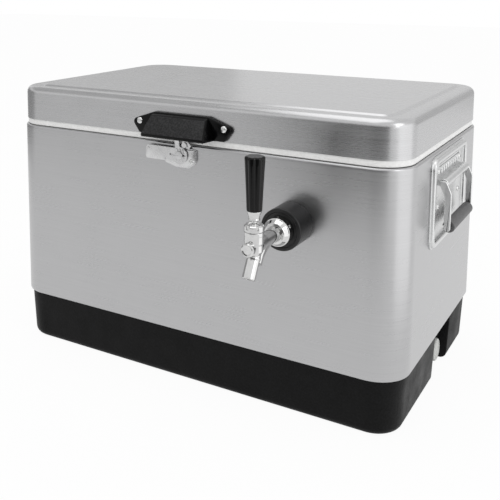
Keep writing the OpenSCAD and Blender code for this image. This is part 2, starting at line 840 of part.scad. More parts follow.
module bail(side) mirrored(side) {
    for (s = [-1, 1]) {
        bail_arm(s * arm_y);
        side_bar(bail_pin_r, pivot_off, pivot_z, s > 0 ? arm_y - pin_reach : -arm_y - strap_t / 2,
            s > 0 ? arm_y + strap_t / 2 : -arm_y + pin_reach);
    }
    side_bar(rod_r, grip_off, grip_z, -arm_y - strap_t / 2 + fit, arm_y + strap_t / 2 - fit);
}

module grip(side) mirrored(side) difference() {
    side_bar(grip_r, grip_off, grip_z, -grip_len / 2, grip_len / 2);
    side_bar(rod_r + fit, grip_off, grip_z, -grip_len, grip_len);
    translate([side_x + grip_off, 0, grip_z]) rotate([0, 40, 0]) translate([-rod_r * 0.5, -grip_len, 0])
        cube([rod_r, 2 * grip_len, 2 * grip_r]);
}

module bail_right() color("#d4d5d5") bail(1);
module bail_left() color("#d4d5d5") bail(-1);
module grip_right() color("#4a4a4b") grip(1);
module grip_left() color("#4a4a4b") grip(-1);

// ---------------------------------------------------------------- hinges

module hinge_bar(r, x0, x1)
    translate([x0, hinge_y, hinge_z]) rotate([0, 90, 0]) cylinder(r = r, h = x1 - x0);

module hinge_body_leaf() difference() {
    union() {
        translate([-hinge_len / 2, back_y, hinge_z - leaf_drop])
            cube([hinge_len, leaf_t, leaf_drop - leaf_clear]);
        for (s = [-1, 1]) {
            x0 = s > 0 ? knuckle_mid : -hinge_len / 2;
            hinge_bar(knuckle_r, x0, x0 + hinge_len / 2 - knuckle_mid);
            translate([x0, back_y, hinge_z - leaf_drop])
                cube([hinge_len / 2 - knuckle_mid, leaf_t, leaf_drop]);
        }
    }
    hinge_bar(hinge_pin_r + fit, -hinge_len, hinge_len);
    for (x = [-hinge_screw_x, hinge_screw_x]) on_back(x, hinge_screw_low, leaf_t) screw_hole();
}

module hinge_lid_leaf() difference() {
    half = knuckle_mid - run_gap;
    union() {
        translate([-hinge_len / 2, lid_back + fit, hinge_z + leaf_clear])
            cube([hinge_len, 2 * leaf_t - fit, leaf_rise - leaf_clear]);
        hinge_bar(knuckle_r, -half, half);
        translate([-half, lid_back + fit, hinge_z]) cube([2 * half, 2 * leaf_t + 1 - fit, leaf_rise]);
    }
    hinge_bar(hinge_pin_r + pin_gap, -hinge_len, hinge_len);
    for (x = [-hinge_screw_x, hinge_screw_x])
        on_back(x, hinge_screw_top, leaf_t * 2 - lid_inset) screw_hole();
}

module hinge_body_leaves() color("#bfc0c0")
    for (s = [-1, 1]) translate([s * hinge_x, 0, 0]) hinge_body_leaf();
module hinge_lid_leaves() color("#bfc0c0")
    for (s = [-1, 1]) translate([s * hinge_x, 0, 0]) hinge_lid_leaf();

module hinge_pins() color("#a9aaaa") for (s = [-1, 1]) translate([s * hinge_x, 0, 0]) {
    hinge_bar(hinge_pin_r, -hinge_len / 2 - 1, hinge_len / 2 + 1);
    for (x0 = [hinge_len / 2 + fit, -hinge_len / 2 - pin_head_t - fit])
        hinge_bar(hinge_pin_r + 1.2, x0, x0 + pin_head_t);
}

module hinge_body_screws() color("#d2d2d0") for (side = [-1, 1], x = [-hinge_screw_x, hinge_screw_x])
    on_back(side * hinge_x + x, hinge_screw_low, leaf_t) screw();
module hinge_lid_screws() color("#d2d2d0") for (side = [-1, 1], x = [-hinge_screw_x, hinge_screw_x])
    on_back(side * hinge_x + x, hinge_screw_top, leaf_t * 2 - lid_inset) screw();

// ---------------------------------------------------------------- faucet

module at_tap() on_front(tap_x, tap_z) children();
module upright(y0) translate([0, y0, faucet_z]) rotate([-90, 0, 0]) children();

module tap_collar() color("#18181a") at_tap() difference() {
    union() {
        rod(collar_r, fit, collar_len - 2);
        translate([0, 0, collar_len - 2]) cylinder(r1 = collar_r, r2 = collar_r - 2, h = 2);
    }
    rod(shank_r + fit, -over, collar_len + over);
}

module tap_shank() color("#c8c8c6") at_tap() difference() {
    union() {
        rod(shank_r, shank_in, collar_len + fit);
        rod(head_thread_r, collar_len + fit, head_z);
    }
    rod(shank_bore_r, shank_in - over, head_z + over);
}

module lock_nut() difference() {
    union() {
        translate([0, 0, -wall_inset - nut_t]) cylinder(r = nut_r, h = nut_t - 2, $fn = 6);
        rod(nut_r + 1, -wall_inset - 2, -wall_inset - fit);
    }
    rod(shank_r + fit, shank_in, over);
}

module tap_lock_nut() color("#c2c2bf") at_tap() lock_nut();

module coupling_nut() color("#dcdcda") at_tap() difference() {
    union() {
        rod(coupling_r, coupling_z, coupling_z + nut_len - nut_cone);
        translate([0, 0, coupling_z + nut_len - nut_cone])
            cylinder(r1 = coupling_r - 0.8, r2 = coupling_r - 4.5, h = nut_cone);
    }
    rod(head_thread_r + fit, coupling_z - over, head_z + flange_t + fit);
    rod(barrel_out_r + fit, coupling_z, coupling_z + nut_len + over);
    for (a = [30:60:330]) rotate([0, 0, a]) translate([coupling_r, 0, coupling_z + 5]) rotate([0, 90, 0])
        translate([0, 0, -1.8]) cylinder(r = 2.2, h = 4);
}

module spout_rod(r, z0, z1) translate([0, 0, spout_start]) rotate([spout_angle, 0, 0]) rod(r, z0, z1);

module faucet_body() color("#dededc") at_tap() difference() {
    union() {
        rod(flange_r, head_z + fit, head_z + flange_t);
        rod(barrel_out_r, head_z + fit, faucet_z);
        upright(head_low) cylinder(r = head_r, h = head_top - head_low);
        rod(knob_r, faucet_z, knob_z - 1.5);
        translate([0, 0, knob_z - 1.5]) cylinder(r1 = knob_r, r2 = knob_r - 1.5, h = 1.5);
        spout_rod(spout_r - neck_relief, 0, spout_neck + over);
        spout_rod(spout_r, spout_neck, spout_len);
    }
    rod(faucet_bore_r, head_z - over, seat_z);
    rod(seat_r, seat_z - over, seat_z + seat_t + over);
    rod(faucet_bore_r, seat_z + seat_t, faucet_z + collar_half_gap + valve_collar_t + over);
    rod(shaft_r + pin_gap, faucet_z, knob_z - 1.5);
    upright(0) cylinder(r = chamber_r, h = head_top + over);
    translate([-finger_r - over, 0, faucet_z - 10.5]) cube([2 * finger_r + 2 * over, slot_top, 11]);
    spout_rod(spout_bore_r, 4, spout_len + over);
}

module faucet_bonnet() color("#d9d9d7") at_tap() difference() {
    upright(head_top + fit) cylinder(r = head_r + 0.3, h = bonnet_top - head_top - fit);
    translate([0, lever_rise, faucet_z]) sphere(r = ball_r + ball_gap);
    upright(head_top - over) cylinder(r = ball_r + ball_gap, h = lever_rise - head_top + over);
    upright(lever_rise) cylinder(r = 5.7, h = 4);
    upright(lever_rise + 2.8) cylinder(r1 = 5.7, r2 = 7.9, h = 2.2);
    for (a = [0:60:300]) translate([0, 0, faucet_z]) rotate([0, a, 0])
        translate([head_r - 0.9, bonnet_top - 5.5, -1.6]) cube([4, 10, 3.2]);
}

module tap_lever() color("#d2d2d0") at_tap() {
    difference() {
        translate([0, lever_rise, faucet_z]) sphere(r = ball_r);
        upright(lever_rise + 4.2) cylinder(r = ball_r, h = ball_r);
    }
    upright(lever_rise) cylinder(r = stem_r, h = stem_top - lever_rise);
    upright(lever_rise - tip_arm) cylinder(r = finger_r, h = tip_arm);
    translate([0, lever_rise - tip_arm, faucet_z]) sphere(r = tip_r);
}

module tap_ferrule() color("#e0e0de") at_tap() difference() {
    upright(ferrule_z) cylinder(r1 = ferrule_foot_r, r2 = ferrule_top_r, h = ferrule_h);
    upright(ferrule_z - over) cylinder(r = stem_r + fit, h = ferrule_h + 2 * over);
}

// Outline of the handle with its flutes
function fluted(r) = [for (a = [0:7.5:352.5])
    let (q = r * (1 - flute_depth * (1 - cos(flutes * a)) / 2)) [q * cos(a), q * sin(a)]];

module tap_handle() color("#131314") at_tap() difference() {
    upright(handle_z) hull() {
        linear_extrude(0.5) polygon(fluted(tap_handle_foot_r));
        translate([0, 0, tap_handle_len - 2]) linear_extrude(0.5) polygon(fluted(tap_handle_top_r));
        translate([0, 0, tap_handle_len - 0.5]) linear_extrude(0.5) polygon(fluted(tap_handle_top_r - 1.2));
    }
    upright(handle_z - over) cylinder(r = stem_r + fit, h = stem_top - handle_z + over + fit);
}

module valve_shaft() color("#c8c8c6") at_tap() {
    rod(shaft_r, seat_z - washer_t - 3, shaft_front);
    for (s = [-1, 1]) translate([0, 0, faucet_z + s * (collar_half_gap + valve_collar_t / 2)])
        rod(s > 0 ? valve_collar_r - 0.4 : valve_collar_r, -valve_collar_t / 2, valve_collar_t / 2);
    ring(washer_r - 1, shaft_r - 1, seat_z - washer_t - 2, seat_z - washer_t - fit);
}

module valve_washer() color("#2b2b2c") at_tap()
    ring(washer_r, shaft_r + fit, seat_z - washer_t, seat_z - run_gap);

// ---------------------------------------------------------------- tails, hoses and inlet

module tailpiece() difference() {
    union() {
        rod(tail_flange_r, tail_z, shank_in - fit);
        rod(tail_r, tail_end, tail_z + over);
        for (k = [0:2]) translate([0, 0, tail_end + 2 + barb_pitch * k])
            cylinder(r1 = tail_r, r2 = tail_r + 0.5, h = barb_pitch - 2);
    }
    rod(tail_bore_r, tail_end - over, shank_in + over);
}

module beer_nut() difference() {
    translate([0, 0, tail_z - 2]) cylinder(r = beer_nut_r, h = beer_nut_len, $fn = 6);
    rod(shank_r + fit, tail_z, shank_in + 2 * beer_nut_len);
    rod(tail_r + 1, tail_z - 2 - over, tail_z + over);
}

module tap_tailpiece() color("#cfcfcd") at_tap() tailpiece();
module tap_tail_nut() color("#c6c0a8") at_tap() beer_nut();

module at_inlet() on_back(inlet_x, inlet_z) children();

module inlet_shank() color("#c8c8c6") at_inlet() difference() {
    union() {
        rod(shank_r - neck_relief, shank_in, rear_collar_t + over);
        rod(shank_r, rear_collar_t + thread_gap, rear_collar_t + inlet_reach);
    }
    rod(shank_bore_r, shank_in - over, rear_collar_t + inlet_reach + over);
}

module inlet_collar() color("#18181a") at_inlet() difference() {
    union() {
        rod(rear_collar_r, fit, rear_collar_t - 2);
        translate([0, 0, rear_collar_t - 2]) cylinder(r1 = rear_collar_r, r2 = rear_collar_r - 2, h = 2);
    }
    rod(shank_r + fit, -over, rear_collar_t + over);
}

module inlet_lock_nut() color("#c2c2bf") at_inlet() lock_nut();
module inlet_tailpiece() color("#cfcfcd") at_inlet() tailpiece();
module inlet_tail_nut() color("#c6c0a8") at_inlet() beer_nut();

// The hose slips over the tailpiece and over the end of the coil
module hose(path) difference() {
    sweep(path, hose_r);
    children();
}

coil_path = concat(
    smooth_path([[riser_x, riser_y, riser_top], [riser_x, riser_y, coil_z + coil_r * 1.6],
        [riser_x, riser_y, coil_z + coil_r / 2], [riser_x - 6, riser_y - 3, coil_z + 14],
        [coil_x + coil_r / 3, coil_y + coil_r + 8, coil_z]], 3),
    [for (i = [0:(coil_turns - 0.25) * steps_per_turn - 1]) let (a = 90 + 360 * i / steps_per_turn)
        [coil_x + coil_r * cos(a), coil_y + coil_r * sin(a), coil_z + coil_pitch * i / steps_per_turn]],
    smooth_path([[tail_x, coil_y - tube_r, coil_top_z - 1],
        [tail_x, coil_y + 2 * tube_r, coil_top_z + tube_r],
        [tail_x, tail_y, coil_top_z + 11], [tail_x, tail_y, coil_top_z + 15],
        [tail_x, tail_y, coil_top_z + top_tail]], 2));

module cooling_coil() color("#cacac8") sweep(coil_path, tube_r);

tap_hose_path = smooth_path([
    [tap_x, tap_tail_y - hose_on, tap_z], [tap_x, tap_tail_y - 8, tap_z], [tap_x, tap_tail_y + 5, tap_z + 2],
    [tap_x + 4, tap_tail_y + 24, tap_z + 14], [tail_x - 18, tail_y - 62, tap_z + 34],
    [tail_x - 8, tail_y - 34, tap_z + 49], [tail_x - 1, tail_y - 8, tap_z + 46],
    [tail_x, tail_y, tap_z + 26], [tail_x, tail_y, coil_top_z + top_tail],
    [tail_x, tail_y, coil_top_z + 16]]);

inlet_hose_path = smooth_path([
    [inlet_x, inlet_tail_y + hose_on, inlet_z], [inlet_x, inlet_tail_y + 8, inlet_z],
    [inlet_x, inlet_tail_y - 6, inlet_z + 1], [inlet_x + 6, inlet_tail_y - 26, inlet_z + 8],
    [inlet_x + 24, inlet_tail_y - 42, inlet_z + 20], [riser_x - 22, riser_y - 50, inlet_z + 31],
    [riser_x - 5, riser_y - 24, inlet_z + 30], [riser_x, riser_y - 2, inlet_z + 16],
    [riser_x, riser_y, riser_top + 12], [riser_x, riser_y, riser_top - 16]]);

// The hose slips over the tailpiece at one end and over the coil tube at the other
module tap_hose() color("#d8dcd8") difference() {
    sweep(tap_hose_path, hose_r);
    at_tap() rod(tail_r + 0.6, tail_end - fit, tail_z);
    translate([tail_x, tail_y, 0]) rod(tube_r + fit, coil_top_z, coil_top_z + top_tail + fit);
}

module inlet_hose() color("#d8dcd8") difference() {
    sweep(inlet_hose_path, hose_r);
    at_inlet() rod(tail_r + 0.6, tail_end - fit, tail_z);
    translate([riser_x, riser_y, 0]) rod(tube_r + fit, riser_top - 2 * hose_on, riser_top + fit);
}

module clamp_ring() {
    ring(clamp_r, hose_r + run_gap, 0, clamp_w);
    translate([clamp_r - 1, -3, 0]) cube([5, 6, clamp_w]);
}

module hose_clamps() color("#cdcdcb") {
    at_tap() translate([0, 0, tail_end + 6]) clamp_ring();
    at_inlet() translate([0, 0, tail_end + 6]) clamp_ring();
    translate([tail_x, tail_y, coil_top_z + 18]) clamp_ring();
    translate([riser_x, riser_y, riser_top - 13]) clamp_ring();
}

base_tub();
steel_belt();
body_foam();
inner_liner();
drain_spout();
drain_washer();
drain_cap();
lid_skin();
lid_foam();
lid_liner();
lid_gasket();
lid_cover();
lid_cover_screws();
latch_strike();
latch_plate();
latch_rivet();
latch_screws();
latch_lever();
handle_plate_right();
handle_plate_left();
handle_screws();
bail_right();
bail_left();
grip_right();
grip_left();
hinge_body_leaves();
hinge_lid_leaves();
hinge_pins();
hinge_body_screws();
hinge_lid_screws();
tap_collar();
tap_shank();
tap_lock_nut();
coupling_nut();
faucet_body();
faucet_bonnet();
tap_lever();
tap_ferrule();
tap_handle();
valve_shaft();
valve_washer();
tap_tailpiece();
tap_tail_nut();
inlet_shank();
inlet_collar();
inlet_lock_nut();
inlet_tailpiece();
inlet_tail_nut();
cooling_coil();
tap_hose();
inlet_hose();
hose_clamps();
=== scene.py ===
"""Looks of a one-tap jockey box: an insulated steel-belted cooler with a beer faucet.

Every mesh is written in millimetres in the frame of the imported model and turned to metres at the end.
"""

import logging
import math
from dataclasses import dataclass
from enum import Enum
from functools import cache, partial
from typing import Callable, Iterable, Sequence

import bmesh
import bpy
from mathutils import Matrix, Vector


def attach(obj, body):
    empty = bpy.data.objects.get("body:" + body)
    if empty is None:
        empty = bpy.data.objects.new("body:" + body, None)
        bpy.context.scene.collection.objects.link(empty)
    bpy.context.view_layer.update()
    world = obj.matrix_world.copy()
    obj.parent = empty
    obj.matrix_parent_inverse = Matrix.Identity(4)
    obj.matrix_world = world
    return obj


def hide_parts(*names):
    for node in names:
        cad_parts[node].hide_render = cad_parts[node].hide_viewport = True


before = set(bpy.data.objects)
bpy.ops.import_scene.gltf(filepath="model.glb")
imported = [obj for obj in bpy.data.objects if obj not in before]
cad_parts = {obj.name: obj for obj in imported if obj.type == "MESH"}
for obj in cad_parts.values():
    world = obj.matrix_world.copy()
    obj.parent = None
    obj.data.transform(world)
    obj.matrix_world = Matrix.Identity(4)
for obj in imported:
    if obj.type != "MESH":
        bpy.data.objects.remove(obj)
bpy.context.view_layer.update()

LOG = logging.getLogger("jockey_box")
MM = 0.001
WHITE = (1, 1, 1, 1)
CREASE_DEG = 34.0
TURNED_CREASE_DEG = 30.0
TUBE_CREASE_DEG = 50.0
MERGE_MM = 0.002
TOP_NORMAL = 0.75
FULL_TURN = 2 * math.pi
FORWARD, BACKWARD = Vector((0, -1, 0)), Vector((0, 1, 0))

Point2 = tuple[float, float]
Outline = list[Point2]
Corners = Sequence[tuple[float, float, float]]
Rings = list[list[Vector]]
Socket = bpy.types.NodeSocket
Piece = bpy.types.Object


class Side(Enum):
    """The two ends of the box that carry a bail handle."""

    RIGHT = 1
    LEFT = -1


class Grain(Enum):
    """How the brush marks run on a metal piece."""

    LEVEL = "round the walls, and along the width on top"
    NONE = "polished, with no direction"


# ------------------------------------------------------------------ node trees


def hex_colour(code: str) -> tuple[float, float, float, float]:
    """Turns an sRGB hex code into a linear colour.

    Args:
        code: six hex digits after a hash mark.

    Returns:
        Linear red, green, blue and an alpha of one.
    """
    parts = [int(code[i:i + 2], 16) / 255 for i in (1, 3, 5)]
    linear = [c / 12.92 if c <= 0.04045 else ((c + 0.055) / 1.055) ** 2.4 for c in parts]
    return (*linear, 1.0)


class Graph:
    """A node tree, with short ways to add what the finishes and makers share."""

    dark_end = 0.3
    light_end = 0.7

    def __init__(self, tree: bpy.types.NodeTree) -> None:
        """Wraps a tree."""
        self.tree = tree

    def add(self, kind: str, inputs: dict | None = None, **settings: object) -> bpy.types.Node:
        """Adds a node with its settings, input values and links.

        Args:
            kind: the node's type name.
            inputs: values or sockets, by the input's name or index.
            **settings: the node's own properties.

        Returns:
            The new node.
        """
        node = self.tree.nodes.new(kind)
        for name, value in settings.items():
            setattr(node, name, value)
        for key, value in (inputs or {}).items():
            if isinstance(value, Socket):
                self.tree.links.new(value, node.inputs[key])
            else:
                node.inputs[key].default_value = value
        return node

    def maths(self, operation: str, *values: Socket | float) -> Socket:
        """The result of a sum on up to three values."""
        return self.add("ShaderNodeMath", dict(enumerate(values)), operation=operation).outputs[0]

    def noise(self, place: Socket, detail: float, scale: float = 1.0) -> Socket:
        """A cloudy pattern."""
        return self.add("ShaderNodeTexNoise", {"Vector": place, "Scale": scale, "Detail": detail}).outputs[0]

    def place(self, *pitch_mm: float) -> Socket:
        """Object coordinates divided by a pitch.

        Args:
            *pitch_mm: the pitch in millimetres, one for all axes or one for each.

        Returns:
            The coordinates.
        """
        spot = self.add("ShaderNodeTexCoord").outputs["Object"]
        scale = [1 / (p * MM) for p in (pitch_mm * 3)[:3]]
        return self.add("ShaderNodeMapping", {"Vector": spot, "Scale": scale}).outputs[0]

    def spread(self, pattern: Socket, low: float, high: float) -> Socket:
        """Spreads a pattern from its dark and light ends over a range."""
        ends = {"From Min": self.dark_end, "From Max": self.light_end, "To Min": low, "To Max": high}
        return self.add("ShaderNodeMapRange", {"Value": pattern, **ends}).outputs[0]

    def two_tone(self, pattern: Socket, dark: str, light: str) -> Socket:
        """Colours a pattern between two hex colours.

        Args:
            pattern: the pattern.
            dark: colour of its dark end.
            light: colour of its light end.

        Returns:
            The colour.
        """
        ramp = self.add("ShaderNodeValToRGB", {"Fac": pattern})
        stops = ((self.dark_end, dark), (self.light_end, light))
        for element, (position, code) in zip(ramp.color_ramp.elements, stops):
            element.position = position
            element.color = hex_colour(code)
        return ramp.outputs["Color"]

    def bump(self, height: Socket, strength: float, relief_mm: float) -> Socket:
        """The normal of a fine relief."""
        return self.add("ShaderNodeBump", {"Strength": strength, "Distance": relief_mm * MM,
                                           "Height": height}).outputs[0]

    def seen(self) -> Socket:
        """One for camera, glossy and transmission rays, and zero for the rest.

        Returns:
            That share.
        """
        path = self.add("ShaderNodeLightPath").outputs
        pair = self.maths("MAXIMUM", path["Is Camera Ray"], path["Is Glossy Ray"])
        return self.maths("MAXIMUM", pair, path["Is Transmission Ray"])


def blank(owner: bpy.types.Material | bpy.types.World) -> Graph:
    """Clears the nodes of a material or world and wraps its tree.

    Args:
        owner: the material or world.

    Returns:
        Its empty tree.
    """
    owner.use_nodes = True
    owner.node_tree.nodes.clear()
    return Graph(owner.node_tree)


# ------------------------------------------------------------------ finishes


@dataclass(frozen=True)
class Finish:
    """What every finish has: two tones and a range of roughness."""

    name: str
    dark: str
    light: str
    rough_low: float
    rough_high: float

    def patterns(self, graph: Graph) -> tuple[Socket, Socket, dict]:
        """The pattern of the tones, the pattern of the roughness and the shader's other inputs."""
        raise NotImplementedError

    def build(self) -> bpy.types.Material:
        """Builds the material from its patterns.

        Returns:
            The new material.
        """
        material = bpy.data.materials.new(self.name)
        graph = blank(material)
        tone, sheen, values = self.patterns(graph)
        values["Base Color"] = graph.two_tone(tone, self.dark, self.light)
        values["Roughness"] = graph.spread(sheen, self.rough_low, self.rough_high)
        shader = graph.add("ShaderNodeBsdfPrincipled", values)
        graph.add("ShaderNodeOutputMaterial", {"Surface": shader.outputs[0]})
        return material


@dataclass(frozen=True)
class Metal(Finish):
    """A metal sheet, tube or casting, brushed or polished."""

    grain: Grain = Grain.NONE
    line_mm: float = 1.3
    reach_mm: float = 110.0
    mottle_mm: float = 45.0
    relief_mm: float = 0.02

    def brushed(self, graph: Graph) -> Socket:
        """Coordinates stretched along the brush lines, which turn where a face points up.

        Args:
            graph: the material's tree.

        Returns:
            The coordinates.
        """
        walls = graph.place(self.reach_mm, self.reach_mm, self.line_mm)
        top = graph.place(self.reach_mm, self.line_mm, self.reach_mm)
        normal = graph.add("ShaderNodeTexCoord").outputs["Normal"]
        up = graph.add("ShaderNodeSeparateXYZ", {0: normal}).outputs["Z"]
        flat = graph.maths("GREATER_THAN", graph.maths("ABSOLUTE", up), TOP_NORMAL)
        return graph.add("ShaderNodeMix", {0: flat, 4: walls, 5: top}, data_type="VECTOR").outputs[1]

    def patterns(self, graph: Graph) -> tuple[Socket, Socket, dict]:
        """Brush lines or a polishing haze, over a broad mottle.

        Args:
            graph: the material's tree.

        Returns:
            The tones, the roughness and the shader's other inputs.
        """
        place = self.brushed(graph) if self.grain is Grain.LEVEL else graph.place(self.line_mm * 6)
        lines = graph.noise(place, 3.0)
        broad = graph.noise(graph.place(self.mottle_mm), 2.0)
        both = graph.maths("MULTIPLY_ADD", lines, 0.7, graph.spread(broad, 0.09, 0.21))
        return both, both, {"Metallic": 1.0, "Normal": graph.bump(lines, 0.5, self.relief_mm)}


@dataclass(frozen=True)
class Moulded(Finish):
    """A moulded plastic or rubber, from glossy to pebbled."""

    pebble_mm: float = 1.6
    relief_mm: float = 0.02
    specular: float = 0.5
    mottle_mm: float = 30.0

    def patterns(self, graph: Graph) -> tuple[Socket, Socket, dict]:
        """A mould grain, and a slow change of sheen.

        Args:
            graph: the material's tree.

        Returns:
            The tones, the roughness and the shader's other inputs.
        """
        place = graph.place(self.pebble_mm)
        cells = graph.add("ShaderNodeTexVoronoi", {"Vector": place, "Scale": 1.0, "Smoothness": 0.6},
                          feature="SMOOTH_F1").outputs["Distance"]
        fine = graph.noise(place, 2.0, 2.2)
        grain = graph.maths("MULTIPLY_ADD", cells, 0.7, graph.spread(fine, 0.0, 0.3))
        broad = graph.noise(graph.place(self.mottle_mm), 3.0)
        return grain, broad, {"IOR": 1.5, "Specular IOR Level": self.specular,
                              "Normal": graph.bump(grain, 0.6, self.relief_mm)}


@dataclass(frozen=True)
class ClearHose(Finish):
    """Clear vinyl beer line, slightly hazy."""

    def patterns(self, graph: Graph) -> tuple[Socket, Socket, dict]:
        """One haze for the tint and the roughness."""
        haze = graph.noise(graph.place(9.0), 2.0)
        return haze, haze, {"IOR": 1.53, "Transmission Weight": 0.55}


# Brushed 304 stainless sheet, about 0.5 mm thick: soft satin reflections with fine level lines, which are
# really 0.1 to 0.3 mm apart and are drawn at 1.3 mm so that they show
BELT_STEEL = Metal("brushed_stainless_belt", "#b2b2b3", "#b9b9ba", 0.26, 0.33, Grain.LEVEL, relief_mm=0.003)
# The lid is drawn from the same sheet, with a slightly finer and smoother brush
LID_STEEL = Metal("brushed_stainless_lid", "#b6b6b7", "#bebebf", 0.24, 0.31, Grain.LEVEL, 1.1,
                  relief_mm=0.003)
# Bright pressed stainless of the latch, tumbled after pressing: satin to bright
LATCH_STEEL = Metal("pressed_bright_stainless", "#c4c4c5", "#d4d4d4", 0.24, 0.32, relief_mm=0.0015)
# Polished stainless plates and bails: bright with a satin haze
POLISHED_STEEL = Metal("polished_stainless", "#cbcccc", "#d8d8d8", 0.26, 0.32, relief_mm=0.001)
# Rolled hinge strip, mill finish
HINGE_STEEL = Metal("mill_finish_stainless_strip", "#aeb0b1", "#c5c6c7", 0.3, 0.42)
# Zinc plated and passivated screws and rivets
SCREW_STEEL = Metal("zinc_plated_screw_steel", "#cfd0d0", "#e3e3e2", 0.18, 0.32, line_mm=0.5)
# Chrome plate over brass: a mirror with slight casting waves
CHROME = Metal("chrome_plated_brass", "#c6c6c6", "#d6d6d5", 0.07, 0.13, relief_mm=0.01)
# Drawn 304 coil tube, bright annealed
COIL_STEEL = Metal("bright_annealed_tube", "#bfc0c1", "#d2d3d3", 0.2, 0.3)
# Machined brass hex nut, slightly dull
BRASS = Metal("machined_brass", "#b99d5c", "#cdb576", 0.22, 0.36)
# Textured HDPE base: deep black with a pebble that breaks up the sheen
PEBBLED_BASE = Moulded("pebbled_black_hdpe", "#050505", "#0e0e0f", 0.42, 0.56, 2.6, 0.35, 0.12)
# Matt charcoal grain on the sloping face of the lid pull
PEBBLED_PULL = Moulded("pebbled_black_abs", "#0c0c0d", "#2c2c2d", 0.42, 0.56, 2.0, 0.4, 0.25)
# Glossy black ABS of the pull's ends and lip
GLOSS_PULL = Moulded("glossy_black_abs", "#040404", "#080809", 0.14, 0.22, 6.0, 0.01, 0.14)
# Satin black acetal collar behind the faucet: dark with a soft rim light
COLLAR_PLASTIC = Moulded("satin_black_acetal", "#080809", "#0f0f10", 0.24, 0.34, 1.2, 0.03, 0.4)
# Glossy black phenolic of the tap handle
HANDLE_PLASTIC = Moulded("glossy_black_phenolic", "#040404", "#080808", 0.10, 0.16, 8.0, 0.01, 0.22)
# White HIPS liner: smooth, slightly warm, with the faintest orange peel
LINER_PLASTIC = Moulded("smooth_white_hips", "#e9e9e8", "#f1f1f0", 0.28, 0.4, 5.0, 0.02)
# Soft PVC gasket, off white and dull
GASKET_VINYL = Moulded("soft_white_pvc", "#d6d5d0", "#e0dfda", 0.5, 0.62, 2.0, 0.04)
# Light grey polypropylene of the drain
DRAIN_PLASTIC = Moulded("grey_polypropylene", "#b9bab8", "#c6c7c4", 0.36, 0.48, 1.4, 0.04)
# Nitrile washers
NITRILE = Moulded("black_nitrile_rubber", "#151516", "#202021", 0.55, 0.7, 1.0, 0.04)
# Extruded EPDM sleeve of the bail grips: dark grey, matt, finely grained
GRIP_RUBBER = Moulded("extruded_epdm_grip", "#4c4c4d", "#626263", 0.46, 0.6, 1.2, 0.08)
# Rigid polyurethane foam, cream, with cells of under a millimetre drawn at 2 mm
FOAM = Moulded("rigid_polyurethane_foam", "#d8cfa9", "#ece5c6", 0.85, 0.95, 2.0, 0.5)
HOSE = ClearHose("clear_vinyl_beer_line", "#dfe6e1", "#f2f5f2", 0.12, 0.24)


@cache
def material_of(finish: Finish) -> bpy.types.Material:
    """The finish's material, built once."""
    return finish.build()


# ------------------------------------------------------------------ outlines and rings, in millimetres


def rounded(points: Corners, steps: int = 5, lead: float = 0.6, closed: bool = False) -> Outline:
    """Rounds the corners of a polyline and adds a support point beside each arc.

    Args:
        points: x, y and corner radius of each point.
        steps: segments of each arc.
        lead: distance of the support points from the arcs.
        closed: whether the last point joins the first.

    Returns:
        The rounded polyline.
    """
    out: Outline = []
    count = len(points)
    most_cut, most_lead = 0.48, 0.3
    for i, (x, y, radius) in enumerate(points):
        here = Vector((x, y))
        if radius <= 0 or (not closed and i in (0, count - 1)):
            out.append((x, y))
            continue
        back = Vector(points[i - 1][:2]) - here
        ahead = Vector(points[(i + 1) % count][:2]) - here
        half = back.angle(ahead) / 2
        cut = min(radius / math.tan(half), back.length * most_cut, ahead.length * most_cut)
        true_radius = cut * math.tan(half)
        free_back, free_ahead = back.length - cut, ahead.length - cut
        back.normalize()
        ahead.normalize()
        centre = here + (back + ahead).normalized() * (true_radius / math.sin(half))
        start, end = here + back * cut - centre, here + ahead * cut - centre
        first = math.atan2(start.y, start.x)
        sweep = (math.atan2(end.y, end.x) - first + math.pi) % FULL_TURN - math.pi
        out.append(tuple(here + back * (cut + min(lead, free_back * most_lead))))
        for k in range(steps + 1):
            angle = first + sweep * k / steps
            out.append((centre.x + true_radius * math.cos(angle), centre.y + true_radius * math.sin(angle)))
        out.append(tuple(here + ahead * (cut + min(lead, free_ahead * most_lead))))
    return out


def rounded_box(width: float, depth: float, radius: float, steps: int = 16, lead: float = 2.5) -> Outline:
    """Outline of a rounded rectangle round the origin, anticlockwise."""
    w, d = width / 2, depth / 2
    return rounded([(w, d, radius), (-w, d, radius), (-w, -d, radius), (w, -d, radius)], steps, lead, True)


def shrink(outline: Outline, inset: float) -> Outline:
    """Moves an anticlockwise outline in by an inset.

    Args:
        outline: the outline, closed on itself.
        inset: the distance.

    Returns:
        The smaller outline, with as many points.
    """
    out: Outline = []
    for i, here in enumerate(outline):
        a = (Vector(here) - Vector(outline[i - 1])).normalized()
        b = (Vector(outline[(i + 1) % len(outline)]) - Vector(here)).normalized()
        na, nb = Vector((-a.y, a.x)), Vector((-b.y, b.x))
        out.append(tuple(Vector(here) + (na + nb) * (inset / max(1 + na.dot(nb), 0.4))))
    return out


def relief(shape: Callable[[float], Outline], profile: Iterable[Point2], place: Matrix = Matrix()) -> Rings:
    """Rings that follow a shape's outline, moved in by the inset that goes with each height of a profile."""
    return [[place @ Vector((x, y, height)) for x, y in shape(inset)] for inset, height in profile]


def slab(outline: Outline, low: float, high: float, place: Matrix, edge: float = 0.5) -> Rings:
    """Rings of a flat piece with eased edges.

    Args:
        outline: the piece's outline.
        low: local height of its back.
        high: local height of its face.
        place: the local frame.
        edge: how far its edges are eased.

    Returns:
        The rings.
    """
    shoulder = (edge * 0.3, high - edge * 0.3)
    stack = [(edge, low), (0.0, low + edge), (0.0, high - edge), shoulder, (edge, high)]
    return relief(partial(shrink, outline), stack, place)


